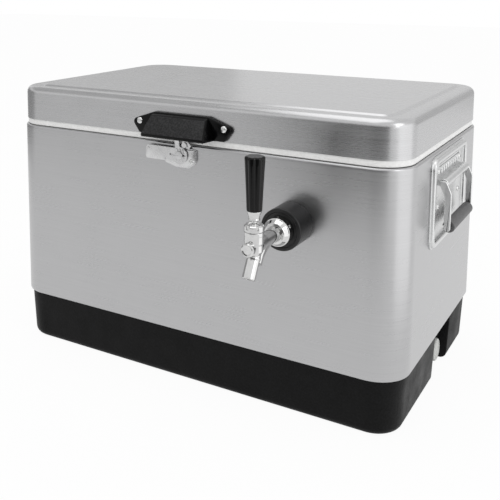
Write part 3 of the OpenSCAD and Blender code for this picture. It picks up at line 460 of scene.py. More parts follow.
def bar(outline: Outline, half: float, ease: float, place: Matrix) -> Rings:
    """Rings of a bar along the local Z axis, as long on both sides of zero, with eased ends."""
    stack = [(ease, -half), (0, -half + ease), (0, half - ease), (ease, half)]
    return relief(partial(shrink, outline), stack, place)


def lathe(profile: Iterable[Point2], place: Matrix, segments: int = 72,
          wave: Callable[[float, float], float] = lambda angle, radius: 1.0) -> Rings:
    """Rings of a profile turned round the local Z axis.

    Args:
        profile: radius and height of each ring.
        place: the local frame.
        segments: points of each ring.
        wave: share of the radius that is left at an angle, by angle and radius.

    Returns:
        The rings.
    """
    angles = [FULL_TURN * k / segments for k in range(segments)]
    rings = []
    for radius, height in profile:
        r = max(radius, 0.01)
        reach = [(a, r * wave(a, r)) for a in angles]
        rings.append([place @ Vector((q * math.cos(a), q * math.sin(a), height)) for a, q in reach])
    return rings


def smooth_path(points: Sequence[Sequence[float]], steps: int = 8) -> list[Vector]:
    """A smooth path through given points.

    Args:
        points: the points that the path goes through.
        steps: steps between two of them.

    Returns:
        The points of the path.
    """
    p = [Vector(q) for q in points]
    out = []
    for i in range(len(p) - 1):
        a, b, c, d = p[max(i - 1, 0)], p[i], p[i + 1], p[min(i + 2, len(p) - 1)]
        for t in (k / steps for k in range(steps)):
            out.append(0.5 * (2 * b + (c - a) * t + (2 * a - 5 * b + 4 * c - d) * t * t +
                              (3 * b - a - 3 * c + d) * t ** 3))
    return [*out, p[-1]]


# ------------------------------------------------------------------ meshes


def link(mesh: bpy.types.Mesh, name: str) -> Piece:
    """Puts a mesh in the scene as an object.

    Args:
        mesh: the mesh.
        name: the object's name.

    Returns:
        The new object.
    """
    piece = bpy.data.objects.new(name, mesh)
    bpy.context.scene.collection.objects.link(piece)
    return piece


def smooth(mesh: bpy.types.Mesh, crease_deg: float) -> None:
    """Shades a mesh smooth, apart from the edges that are steeper than a crease.

    Args:
        mesh: the mesh.
        crease_deg: edges steeper than this stay sharp.
    """
    mesh.polygons.foreach_set("use_smooth", [True] * len(mesh.polygons))
    mesh.set_sharp_from_angle(angle=math.radians(crease_deg))
    mesh.update()


def settle(bm: bmesh.types.BMesh, name: str, crease_deg: float = CREASE_DEG) -> Piece:
    """Ends the making of a mesh: merges, turns faces outwards and scales to metres.

    Args:
        bm: the mesh in millimetres, freed here.
        name: the piece's name.
        crease_deg: edges steeper than this stay sharp.

    Returns:
        The new object.
    """
    bmesh.ops.remove_doubles(bm, verts=bm.verts, dist=MERGE_MM)
    bmesh.ops.recalc_face_normals(bm, faces=bm.faces)
    bm.transform(Matrix.Scale(MM, 4))
    mesh = bpy.data.meshes.new(name)
    bm.to_mesh(mesh)
    bm.free()
    smooth(mesh, crease_deg)
    return link(mesh, name)


def skin(name: str, *stacks: Rings, loop: bool = False, crease_deg: float = CREASE_DEG) -> Piece:
    """Skins stacks of rings, each capped at both ends or closed on itself.

    Args:
        name: the piece's name.
        *stacks: the rings of each closed shell, of equal length in a stack.
        loop: whether the last ring joins the first.
        crease_deg: edges steeper than this stay sharp.

    Returns:
        The new object.
    """
    bm = bmesh.new()
    for rings in stacks:
        rows = [[bm.verts.new(p) for p in ring] for ring in rings]
        for low, high in [*zip(rows, rows[1:]), *([(rows[-1], rows[0])] if loop else [])]:
            for i in range(len(low)):
                j = (i + 1) % len(low)
                bm.faces.new((low[i], low[j], high[j], high[i]))
        if not loop:
            bm.faces.new(list(reversed(rows[0])))
            bm.faces.new(rows[-1])
    return settle(bm, name, crease_deg)


def turned(name: str, profile: Outline, place: Matrix, segments: int = 72, loop: bool = True) -> Piece:
    """A piece turned on the lathe, as a ring or, without a loop, as a solid."""
    return skin(name, lathe(profile, place, segments), loop=loop, crease_deg=TURNED_CREASE_DEG)


def bake(piece: Piece, crease_deg: float = CREASE_DEG) -> None:
    """Turns a piece with modifiers into a plain mesh.

    Args:
        piece: the piece.
        crease_deg: edges steeper than this stay sharp.
    """
    graph = bpy.context.evaluated_depsgraph_get()
    mesh = bpy.data.meshes.new_from_object(piece.evaluated_get(graph), depsgraph=graph)
    piece.modifiers.clear()
    piece.data = mesh
    smooth(mesh, crease_deg)


def carve(piece: Piece, cutters: Sequence[Piece], operation: str = "DIFFERENCE") -> None:
    """Cuts other solids out of a piece, or joins them to it, and removes them.

    Args:
        piece: the piece that changes.
        cutters: the other solids.
        operation: what the boolean does.
    """
    for cutter in cutters:
        step = piece.modifiers.new("carve", "BOOLEAN")
        step.object = cutter
        step.operation = operation
        step.solver = "EXACT"
    bake(piece)
    for cutter in cutters:
        bpy.data.objects.remove(cutter)


def soften(piece: Piece, width_mm: float, angle_deg: float) -> None:
    """Rounds the edges of a piece that are steeper than an angle.

    Args:
        piece: the piece.
        width_mm: how far the rounding reaches from an edge.
        angle_deg: the angle.
    """
    step = piece.modifiers.new("soften", "BEVEL")
    step.width = width_mm * MM
    step.segments = 3
    step.limit_method = "ANGLE"
    step.angle_limit = math.radians(angle_deg)
    bake(piece)


def block(low: Sequence[float], high: Sequence[float]) -> Piece:
    """A plain box between two corners, used to cut.

    Args:
        low: its lowest x, y and z.
        high: its highest x, y and z.

    Returns:
        The cutter.
    """
    bm = bmesh.new()
    size = Vector(high) - Vector(low)
    centre = (Vector(high) + Vector(low)) / 2
    bmesh.ops.create_cube(bm, size=1.0, matrix=Matrix.Translation(centre) @ Matrix.Diagonal((*size, 1.0)))
    return settle(bm, "cutter")


def drill(radius: float, low: float, high: float, place: Matrix, segments: int = 32) -> Piece:
    """A round cutter along the local Z axis."""
    return skin("cutter", lathe([(radius, low), (radius, high)], place, segments))


def dress(piece: Piece, finish: Finish, body: str, slot: str, *nodes: str) -> None:
    """Gives a piece its finish, its body and the nodes that it stands for.

    Args:
        piece: the finished object.
        finish: its finish, unless its mesh already has one.
        body: the CAD body that it rides on.
        slot: name of a material slot, which is not used.
        *nodes: the CAD nodes that it stands for.
    """
    if not piece.data.materials:
        piece.data.materials.append(material_of(finish))
    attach(piece, body)
    if nodes:
        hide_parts(*nodes)
    LOG.info("%s: %d faces on %s", piece.name, len(piece.data.polygons), body)


def spin(angle_deg: float, axis: str = "Z") -> Matrix:
    """A turn about one axis."""
    return Matrix.Rotation(math.radians(angle_deg), 4, axis)


def shift(x: float, y: float, z: float) -> Matrix:
    """A move in millimetres."""
    return Matrix.Translation((x, y, z))


def on_front(x: float, z: float, y: float) -> Matrix:
    """Local frame on the front: X right, Y up, Z towards the viewer."""
    return shift(x, y, z) @ spin(90, "X")


# ------------------------------------------------------------------ makers of repeated things


class Maker(Graph):
    """A geometry node tree that makes something on a seed's points or along its edges."""

    def __init__(self, name: str, inputs: dict[str, str]) -> None:
        """Starts the tree.

        Args:
            name: the tree's name.
            inputs: kind of socket by the input's name, besides the geometry and the finish.
        """
        super().__init__(bpy.data.node_groups.new(name, "GeometryNodeTree"))
        for label, kind in {"Geometry": "Geometry", **inputs, "Finish": "Material"}.items():
            self.tree.interface.new_socket(label, in_out="INPUT", socket_type=f"NodeSocket{kind}")
        self.tree.interface.new_socket("Geometry", in_out="OUTPUT", socket_type="NodeSocketGeometry")
        self.given = self.add("NodeGroupInput").outputs

    def end(self, shape: Socket) -> "Maker":
        """Ends the tree in Realize Instances and Set Material.

        Args:
            shape: what the tree made.

        Returns:
            The tree itself.
        """
        solid = self.add("GeometryNodeRealizeInstances", {0: shape}).outputs[0]
        coated = self.add("GeometryNodeSetMaterial", {"Geometry": solid, "Material": self.given["Finish"]})
        self.add("NodeGroupOutput", {0: coated.outputs[0]})
        return self

    def run(self, seed: Piece, finish: Finish, values: dict, crease_deg: float = CREASE_DEG) -> Piece:
        """Runs the tree on a seed object and keeps the result as a plain mesh.

        Args:
            seed: the object that carries the points or path.
            finish: what the result is made of.
            values: the other input values by name.
            crease_deg: edges steeper than this stay sharp.

        Returns:
            The seed, now with the made mesh.
        """
        values = {**values, "Finish": material_of(finish)}
        step = seed.modifiers.new("make", "NODES")
        step.node_group = self.tree
        for item in self.tree.interface.items_tree:
            if item.in_out == "INPUT" and item.name in values:
                step[item.identifier] = values[item.name]
        bake(seed, crease_deg)
        bm = bmesh.new()
        bm.from_mesh(seed.data)
        bmesh.ops.recalc_face_normals(bm, faces=bm.faces)
        bm.to_mesh(seed.data)
        bm.free()
        smooth(seed.data, crease_deg)
        return seed


def screw_maker() -> Maker:
    """Domed screw heads with a cross recess, one on each point, turned to the point's own direction.

    Returns:
        The maker.
    """
    tree = Maker("domed_screw_heads", {"Radius": "Float", "Height": "Float", "Slot": "Float"})
    radius, height, slot = (tree.given[name] for name in ("Radius", "Height", "Slot"))
    ball = tree.add("GeometryNodeMeshUVSphere", {"Segments": 28, "Rings": 14, "Radius": radius})
    parts = tree.add("ShaderNodeSeparateXYZ", {0: tree.add("GeometryNodeInputPosition").outputs[0]}).outputs
    above = tree.maths("MAXIMUM", parts[2], 0.0)
    flat = tree.maths("MULTIPLY", above, tree.maths("DIVIDE", height, radius))
    joined = tree.add("ShaderNodeCombineXYZ", {0: parts[0], 1: parts[1], 2: flat}).outputs[0]
    cut = tree.add("GeometryNodeSetPosition", {"Geometry": ball.outputs[0], "Position": joined}).outputs[0]
    long_side = tree.maths("MULTIPLY", radius, 1.15)
    lift = tree.add("ShaderNodeCombineXYZ", {2: height}).outputs[0]
    for size_x, size_y in ((long_side, slot), (slot, long_side)):
        size = tree.add("ShaderNodeCombineXYZ", {0: size_x, 1: size_y, 2: height}).outputs[0]
        cube = tree.add("GeometryNodeMeshCube", {"Size": size}).outputs[0]
        bit = tree.add("GeometryNodeTransform", {"Geometry": cube, "Translation": lift}).outputs[0]
        cut = tree.add("GeometryNodeMeshBoolean", {0: cut, 1: bit}, operation="DIFFERENCE",
                       solver="EXACT").outputs[0]
    facing = tree.add("GeometryNodeInputNamedAttribute", {"Name": "facing"}, data_type="FLOAT_VECTOR")
    turn = tree.add("FunctionNodeAlignRotationToVector", {"Vector": facing.outputs[0]}, axis="Z")
    heads = tree.add("GeometryNodeInstanceOnPoints", {"Points": tree.given["Geometry"], "Instance": cut,
                                                      "Rotation": turn.outputs[0]})
    return tree.end(heads.outputs[0])


def tube_maker() -> Maker:
    """A round tube along the edges of its seed.

    Returns:
        The maker.
    """
    tree = Maker("tube_along_path", {"Radius": "Float", "Sides": "Int"})
    path = tree.add("GeometryNodeMeshToCurve", {0: tree.given["Geometry"]}).outputs[0]
    circle = tree.add("GeometryNodeCurvePrimitiveCircle", {"Resolution": tree.given["Sides"],
                                                           "Radius": tree.given["Radius"]}).outputs[0]
    tube = tree.add("GeometryNodeCurveToMesh", {"Curve": path, "Profile Curve": circle, "Fill Caps": True})
    return tree.end(tube.outputs[0])


def bump_maker() -> Maker:
    """Rounded ribs or rivet heads, one on each point.

    Returns:
        The maker.
    """
    tree = Maker("rounded_bumps", {"Size": "Vector"})
    ball = tree.add("GeometryNodeMeshUVSphere", {"Segments": 20, "Rings": 12, "Radius": 1.0}).outputs[0]
    bumps = tree.add("GeometryNodeInstanceOnPoints", {"Points": tree.given["Geometry"], "Instance": ball,
                                                      "Scale": tree.given["Size"]})
    return tree.end(bumps.outputs[0])


def seed_points(name: str, places: Sequence[Vector], facing: Vector | Sequence[Vector] = (),
                chain: bool = False) -> Piece:
    """An object of loose points, or of a chain of edges, for a maker.

    Args:
        name: the piece's name.
        places: the points in millimetres.
        facing: a direction for each point, where the maker reads one.
        chain: whether edges join the points.

    Returns:
        The seed object.
    """
    mesh = bpy.data.meshes.new(name)
    edges = [(i, i + 1) for i in range(len(places) - 1)] if chain else []
    mesh.from_pydata([Vector(p) * MM for p in places], edges, [])
    if facing:
        directions = mesh.attributes.new("facing", "FLOAT_VECTOR", "POINT").data
        directions.foreach_set("vector", [c for v in facing for c in v])
    return link(mesh, name)


@dataclass
class Workshop:
    """The makers that several sub-assemblies share."""

    screws: Maker
    tubes: Maker
    bumps: Maker
    slot: float = 1.1

    def screw_heads(self, name: str, places: Sequence[Vector], facing: Sequence[Vector], radius: float,
                    height: float, body: str, node: str) -> None:
        """Makes zinc plated screw heads and dresses them.

        Args:
            name: the piece's name.
            places: the middle of each head, on its plate.
            facing: the direction of each head.
            radius: radius of the heads.
            height: their height.
            body: the CAD body that they ride on.
            node: the CAD node that they stand for.
        """
        values = {"Radius": radius * MM, "Height": height * MM, "Slot": self.slot * MM}
        heads = self.screws.run(seed_points(name, places, facing), SCREW_STEEL, values)
        dress(heads, SCREW_STEEL, body, "screw_steel", node)

    def tube(self, name: str, path: Sequence[Vector], radius: float, sides: int, finish: Finish) -> Piece:
        """Makes a round tube along a path."""
        values = {"Radius": radius * MM, "Sides": sides}
        return self.tubes.run(seed_points(name, path, chain=True), finish, values, TUBE_CREASE_DEG)

    def bump_row(self, name: str, places: Sequence[Vector], size: Sequence[float], finish: Finish) -> Piece:
        """Makes rounded bumps of a half size along X, Y and Z."""
        return self.bumps.run(seed_points(name, places), finish, {"Size": [s * MM for s in size]})


# ------------------------------------------------------------------ base, belt and liner


@dataclass
class Body:
    """The moulded base, the steel belt and the white liner."""

    shop: Workshop
    width: float = 610.0
    depth: float = 390.0
    corner: float = 45.0
    belt_low: float = 74.0
    belt_high: float = 340.0
    hem: float = 6.0
    sheet: float = 1.2
    base_step: float = 4.0
    base_draft: float = 4.0
    base_edge: float = 10.0
    base_ease: float = 1.4
    tongue_high: float = 84.0
    recess_y: float = 29.0
    recess_width: float = 82.0
    recess_corner: float = 6.0
    recess_back: float = 279.0
    recess_top: float = 70.0
    base_inside: float = 30.0
    base_top: float = 28.0
    cavity_inset: float = 40.0
    cavity_corner: float = 16.0
    cavity_floor: float = 33.0
    liner: float = 3.0
    rim_inset: float = 8.0
    rim_low: float = 332.0
    rim_high: float = 343.0
    drain_y: float = 8.0
    drain_z: float = 40.0
    drain_bore: float = 6.0
    drain_reach: Point2 = (240.0, 290.0)
    seam_x: float = -150.0
    seam_width: float = 15.0
    seam_out: float = 0.9
    seam_short: float = 14.0
    rivets: int = 6
    rivet_pitch: float = 43.5
    rivet_start: float = 24.0
    rivet_half: tuple[float, float, float] = (2.6, 1.1, 2.6)

    def outline(self, inset: float, least: float = 4.0) -> Outline:
        """Outline of the box moved in by an inset."""
        return rounded_box(self.width - 2 * inset, self.depth - 2 * inset, max(self.corner - inset, least))

    def cavity(self, inset: float) -> Outline:
        """Outline with the wider corners of the cavity."""
        return self.outline(inset, self.cavity_corner)

    def across(self) -> Matrix:
        """Local frame of the drain: Z out of the right side."""
        return shift(0, self.drain_y, self.drain_z) @ spin(90, "Y")

    def base(self) -> None:
        """The pebbled base with its drain recess."""
        foot, tongue = self.base_step + self.base_draft, self.hem + 1
        profile = rounded([(foot + 30, 0, 0), (foot, 0, self.base_edge), (self.base_step, self.belt_low, 0.8),
                           (tongue, self.belt_low, 0), (tongue, self.tongue_high, 0),
                           (self.base_inside, self.tongue_high, 0), (self.base_inside, self.base_top, 0)],
                          6, 2.0)
        piece = skin("moulded_base", relief(self.outline, profile))
        reach = self.width / 2 + 20 - self.recess_back
        recess = rounded_box(2 * reach, self.recess_width, self.recess_corner, 6, 1.0)
        walls = rounded([(0, -5, 0), (0, self.recess_top, 4), (5, self.recess_top, 0)], 5, 0.3)
        place = shift(self.recess_back + reach, self.recess_y, 0)
        carve(piece, [skin("cutter", relief(partial(shrink, recess), walls, place))])
        soften(piece, self.base_ease, 55.0)
        dress(piece, PEBBLED_BASE, "box", "black_base", "base_tub")

    def belt(self) -> None:
        """The brushed belt with rolled edges and its riveted lap seam at the back."""
        t, h, low, high = self.sheet, self.hem, self.belt_low, self.belt_high
        outside = rounded([(h, low, 0), (0, low, h), (0, high, h), (h, high, 0)], 7, 3.0)
        inside = rounded([(h, high - t, 0), (t, high - t, h - t), (t, low + t, h - t), (h, low + t, 0)],
                         7, 3.0)
        sheet = skin("steel_belt_sheet", relief(self.outline, outside + inside), loop=True)
        dress(sheet, BELT_STEEL, "box", "belt_steel", "steel_belt")
        strip = rounded_box(self.seam_width, high - low - self.seam_short, 3.0, 4, 1.0)
        back = shift(self.seam_x, self.depth / 2, (low + high) / 2) @ spin(-90, "X")
        seam = skin("belt_lap_seam", slab(strip, -0.3, self.seam_out, back, 0.4))
        dress(seam, BELT_STEEL, "box", "belt_steel")
        spots = [Vector((self.seam_x, self.depth / 2 + self.seam_out,
                         low + self.rivet_start + self.rivet_pitch * k))
                 for k in range(self.rivets)]
        heads = self.shop.bump_row("seam_rivet_heads", spots, self.rivet_half, SCREW_STEEL)
        dress(heads, SCREW_STEEL, "box", "screw_steel")

    def inside(self) -> None:
        """The white liner with its rim, rounded floor and drain hole."""
        i, floor, out = self.cavity_inset, self.cavity_floor, self.cavity_inset - self.liner
        profile = rounded([(out, floor - self.liner, 0), (out, self.rim_low, 0),
                           (self.rim_inset, self.rim_low, 0), (self.rim_inset, self.rim_high, 3),
                           (i, self.rim_high, 4), (i, floor, 10), (i + 16, floor, 0)], 6, 1.5)
        piece = skin("white_liner", relief(self.cavity, profile))
        carve(piece, [drill(self.drain_bore, *self.drain_reach, self.across())])
        dress(piece, LINER_PLASTIC, "box", "white_liner", "inner_liner")

    def build(self) -> None:
        """Builds the whole body."""
        self.base()
        self.belt()
        self.inside()


# ------------------------------------------------------------------ lid


@dataclass
class Lid:
    """The steel lid, its white inner pan and the gasket."""

    body: Body
    low: float = 349.0
    high: float = 400.0
    inset: float = 2.0
    edge: float = 17.0
    panel_inset: float = 26.0
    panel_rise: float = 1.5
    groove: float = 1.1
    skirt_inset: float = 3.0
    skirt_low: float = 340.6
    pan_inset: float = 46.0
    pan_low: float = 335.0
    pan_rise: float = 2.0
    plate_low: float = 346.0
    gasket_inset: float = 26.0
    gasket_width: float = 9.0
    gasket_top: float = 345.9

    def skin(self) -> None:
        """The drawn lid with its rounded edge, pressed border groove and raised panel."""
        crown, sunk = self.high - self.panel_rise, self.high - self.panel_rise - self.groove
        i, t, p = self.inset, self.body.sheet, self.panel_inset
        inner = rounded([(p + 6, crown - t, 0), (i + t, crown - t, self.edge - t), (i + t, self.low, 0)],
                        8, 3.0)
        outer = rounded([(i, self.low, 0), (i, crown, self.edge), (p - 3, crown, 1.5), (p - 1, sunk, 1.2),
                         (p + 1, sunk, 1.2), (p + 5, self.high, 2.5), (p + 12, self.high, 0)], 8, 2.0)
        dress(skin("steel_lid_skin", relief(self.body.outline, inner + outer)), LID_STEEL, "lid", "lid_steel",
              "lid_skin")

    def pan(self) -> None:
        """The white pan with the skirt that shows under the steel, and a shallow panel inside."""
        s, p, low, rise = self.skirt_inset, self.pan_inset, self.pan_low, self.pan_rise
        profile = rounded([(s + 12, self.low, 0), (s, self.low, 0.6), (s, self.skirt_low, 1.2),
                           (s + 3, self.skirt_low, 1.2), (s + 3, self.plate_low, 1.0), (p, self.plate_low, 2),
                           (p, low, 5), (p + 40, low, 1.5), (p + 43, low + rise, 1.5),
                           (p + 60, low + rise, 0)], 5, 1.0)
        dress(skin("white_lid_pan", relief(self.body.cavity, profile)), LINER_PLASTIC, "lid", "white_liner",
              "lid_liner")

    def gasket(self) -> None:
        """The soft gasket round the rim, with two lips."""
        rim, top, near = self.body.rim_high, self.gasket_top, self.gasket_inset
        far = near + self.gasket_width
        profile = rounded([(near, rim + 0.4, 0.3), (near + 3, rim, 0.4), (near + 4.5, rim + 1, 0.5),
                           (near + 6, rim, 0.4), (far, rim + 0.4, 0.3), (far, top, 0.4), (near, top, 0.4)],
                          3, 0.3, closed=True)
        dress(skin("lid_gasket_lips", relief(self.body.cavity, profile), loop=True), GASKET_VINYL, "lid",
              "gasket", "lid_gasket")

    def build(self) -> None:
        """Builds the lid's shells."""
        self.skin()
        self.pan()
        self.gasket()


@dataclass
class Pull:
    """The black pull on the front of the lid."""

    shop: Workshop
    face_y: float = -193.0
    low: float = 350.0
    high: float = 381.0
    middle: float = 368.0
    half_wide: float = 80.0
    half_low: float = 67.0
    half_top: float = 43.0
    half_foot: float = 49.0
    wing: float = 6.0
    reach: float = 30.0
    top_reach: float = 13.0
    lip: float = 3.5
    wall: float = 3.0
    strike_half: float = 14.1
    strike_high: float = 22.2
    screw_x: float = 66.0
    screw_z: float = 367.0
    screw_r: float = 4.6
    screw_h: float = 2.0
    flat_angle: float = 0.02
    slope_match: float = 0.985

    def hull(self, wall: float) -> bmesh.types.BMesh:
        """The wedge of the pull.

        Args:
            wall: how much smaller it is all round, as the hollow of the pull.

        Returns:
            The wedge as a new mesh.
        """
        back, drop = (-2.0, 3 * wall) if wall else (0.1, 0.0)
        top, foot = self.half_top - wall, self.half_foot - wall
        bm = bmesh.new()
        for x, z, y in ((top, self.high - wall, back), (foot + 4, self.low - drop, back),
                        (top, self.high - self.lip - wall, self.top_reach - wall),
                        (foot, self.low + self.lip, self.reach - wall),
                        (foot - 0.6, self.low - drop, self.reach - 1.2 - wall)):
            for side in (1, -1):
                bm.verts.new((side * x, self.face_y - y, z))
        bmesh.ops.convex_hull(bm, input=bm.verts)
        bmesh.ops.dissolve_limit(bm, angle_limit=self.flat_angle, verts=bm.verts, edges=bm.edges)
        return bm

    def wings(self) -> None:
        """The glossy back plate with its two screwed ends."""
        ends = [(-self.half_wide, self.middle, 6), (-self.half_low, self.low, 4),
                (self.half_low, self.low, 4), (self.half_wide, self.middle, 6),
                (self.half_top, self.high, 9), (-self.half_top, self.high, 9)]
        shape = rounded(ends, 5, 0.8, closed=True)
        piece = skin("pull_back_plate", slab(shape, 0.05, self.wing, on_front(0, 0, self.face_y), 1.5))
        strike = block((-self.strike_half, self.face_y - 3, self.low - 2),
                       (self.strike_half, self.face_y + 1, self.low + self.strike_high))
        carve(piece, [settle(self.hull(self.wall), "cutter"), strike])
        dress(piece, GLOSS_PULL, "lid", "black_cover")

    def wedge(self) -> None:
        """The sloping front, pebbled on its face and glossy at its ends and lip."""
        piece = settle(self.hull(0.0), "pull_sloping_front")
        soften(piece, 1.3, 20.0)
        carve(piece, [settle(self.hull(self.wall), "cutter")])
        mesh = piece.data
        mesh.materials.clear()
        for finish in (GLOSS_PULL, PEBBLED_PULL):
            mesh.materials.append(material_of(finish))
        slope = Vector((0, self.low + 2 * self.lip - self.high, self.reach - self.top_reach)).normalized()
        for face in mesh.polygons:
            outer = face.center.y / MM < self.face_y - self.top_reach * 0.5
            face.material_index = 1 if outer and face.normal.dot(slope) > self.slope_match else 0
        dress(piece, GLOSS_PULL, "lid", "black_cover", "lid_cover")

    def screws(self) -> None:
        """The two screws of the pull."""
        spots = [Vector((x, self.face_y - self.wing, self.screw_z)) for x in (-self.screw_x, self.screw_x)]
        self.shop.screw_heads("pull_screw_heads", spots, [FORWARD] * 2, self.screw_r, self.screw_h, "lid",
                              "lid_cover_screws")

    def build(self) -> None:
        """Builds the pull."""
        self.wings()
        self.wedge()
        self.screws()


# ------------------------------------------------------------------ latch


@dataclass
class Latch:
    """The turning latch: lever, its pressed ridges, the fixed plate and the pivot."""

    shop: Workshop
    front_y: float = -195.0
    z: float = 326.0
    plate_t: float = 1.5
    lever_off: float = 4.6
    lever_t: float = 2.6
    tab: float = 54.0
    tab_half: float = 9.5
    hub: float = 12.0
    arm_half: float = 4.0
    hook_in: float = 20.0
    hook_out: float = 24.0
    neck_deg: float = 112.0
    groove_half: float = 1.3
    groove_deep: float = 2.0
    ridge_centre: float = -12.0
    ridge_steps: int = 12
    ridge_sides: int = 10
    ridge_rows: tuple[Point2, ...] = ((11.5, 0.86), (15.5, 0.6), (19.5, 0.46))
    pits: tuple[Point2, ...] = ((-48.5, 6.2), (-21.5, -6.6))
    screw_r: float = 3.6
    screw_h: float = 1.4

    def frame(self) -> Matrix:
        """Local frame at the pivot, on the belt."""
        return on_front(0, self.z, self.front_y)

    def lever_face(self) -> float:
        """Distance of the lever's face from the belt."""
        return self.lever_off + self.lever_t

    def hook(self) -> Outline:
        """Outline of the hook, a quarter of a ring above the hub.

        Returns:
            The outline.
        """
        outer = [(math.radians(a), self.hook_out) for a in range(36, 113, 7)]
        inner = [(math.radians(a), self.hook_in) for a in range(106, 35, -7)]
        return [(r * math.cos(a), r * math.sin(a)) for a, r in outer + inner]

    def arm(self) -> Outline:
        """Outline of the arm that carries the hook.

        Returns:
            The outline.
        """
        lean_in, shy = 0.16, 0.4
        angle = math.radians(self.neck_deg) - lean_in
        along = Vector((math.cos(angle), math.sin(angle)))
        across = Vector((-along.y, along.x))
        half, end = self.arm_half, self.hook_in + 1.5
        return [tuple(along * r + across * w)
                for r, w in ((4, -half), (end, -half), (end, half - shy), (4, half - shy))]

    def lever(self) -> None:
        """The lever with its flat tab, round hub and hook."""
        h, low, high, place = self.tab_half, self.lever_off, self.lever_face(), self.frame()
        tab = rounded([(-self.tab, -h, 3.5), (-4, -h, 0), (-4, h, 0), (-self.tab, h, 3.5)],
                      5, 0.6, closed=True)
        piece = skin("latch_lever_plate", slab(tab, low, high, place))
        hub = [(self.hub - 0.5, low), (self.hub, low + 0.5), (self.hub, high - 0.5), (self.hub - 0.5, high)]
        carve(piece, [skin("hub", lathe(hub, place, 64)),
                      skin("hook", slab(self.hook(), low, high, place, 0.3)),
                      skin("arm", slab(self.arm(), low + 0.01, high - 0.01, place, 0.3))], "UNION")
        groove = block((self.ridge_centre - 3, self.front_y - high - 1, self.z - self.groove_half),
                       (self.hub - 1.2, self.front_y - high + self.groove_deep, self.z + self.groove_half))
        pits = [drill(1.3, high - 0.8, high + 2, place @ shift(x, y, 0), 16) for x, y in self.pits]
        carve(piece, [groove, *pits])
        dress(piece, LATCH_STEEL, "latch", "latch_steel", "latch_lever")

    def ridge(self, radius: float, limit: float, sign: int) -> Rings:
        """One pressed ridge that curves round the right end of the lever.

        Args:
            radius: distance from the ridges' common centre.
            limit: angle of its far end in radians.
            sign: one above the groove, minus one below it.

        Returns:
            The ridge's rings.
        """
        first, half_wide, rise = 2.4 / radius, 1.15, 1.05
        rings = []
        for k in range(self.ridge_steps + 1):
            a = sign * (first + (limit - first) * k / self.ridge_steps)
            ease = 1.0 if 0 < k < self.ridge_steps else 0.45
            out = Vector((math.cos(a), math.sin(a), 0))
            mid = Vector((self.ridge_centre, 0, self.lever_face() - 0.25)) + out * radius
            rings.append([self.frame() @ (mid + out * (half_wide * ease * math.cos(b)) +
                                          Vector((0, 0, rise * ease * math.sin(b))))
                          for b in (FULL_TURN * q / self.ridge_sides for q in range(self.ridge_sides))])
        return rings

    def ridges(self) -> None:
        """Three pairs of pressed ridges."""
        stacks = [self.ridge(radius, limit, sign) for radius, limit in self.ridge_rows for sign in (1, -1)]
        dress(skin("latch_lever_ridges", *stacks), LATCH_STEEL, "latch", "latch_steel")

    def fixed(self) -> None:
        """The plate on the belt with its raised right bracket."""
        shape = rounded([(-26, -13, 2), (-8, -18, 6), (12, -18, 6), (24, -10, 8), (24, 8, 2), (-4, 12, 2),
                         (-26, 4, 3)], 5, 0.6, closed=True)
        bracket = rounded([(3, -16.5, 2), (11, -16.5, 5), (23.5, -9, 7), (23.5, 7.5, 2), (3, 7.5, 1)], 5, 0.5,
                          closed=True)
        bracket_out = self.lever_off - 0.5
        piece = skin("latch_fixed_plate", slab(shape, 0.05, self.plate_t, self.frame()),
                     slab(bracket, self.plate_t - 0.3, bracket_out, self.frame(), 0.9))
        dress(piece, LATCH_STEEL, "box", "latch_steel", "latch_plate")
        spots = [Vector((x, self.front_y - out, self.z - 8))
                 for x, out in ((-17, self.plate_t), (17, bracket_out))]
        self.shop.screw_heads("latch_screw_heads", spots, [FORWARD] * 2, self.screw_r, self.screw_h, "box",
                              "latch_screws")

    def pivot(self) -> None:
        """The slotted pivot head."""
        low = self.lever_face()
        profile = rounded([(3.2, -8, 0), (3.2, low + 0.2, 0), (5.6, low + 0.2, 0.2), (5.6, low + 1.7, 0.7),
                           (0, low + 2.0, 0)], 4, 0.3)
        piece = skin("latch_pivot", lathe(profile, self.frame(), 48))
        y = self.front_y - low
        carve(piece, [block((-7, y - 3, self.z - 0.9), (7, y - 0.9, self.z + 0.9))])
        dress(piece, LATCH_STEEL, "box", "screw_steel", "latch_rivet")

    def build(self) -> None:
        """Builds the latch."""
        self.fixed()
        self.pivot()
        self.lever()
        self.ridges()


# ------------------------------------------------------------------ side handles


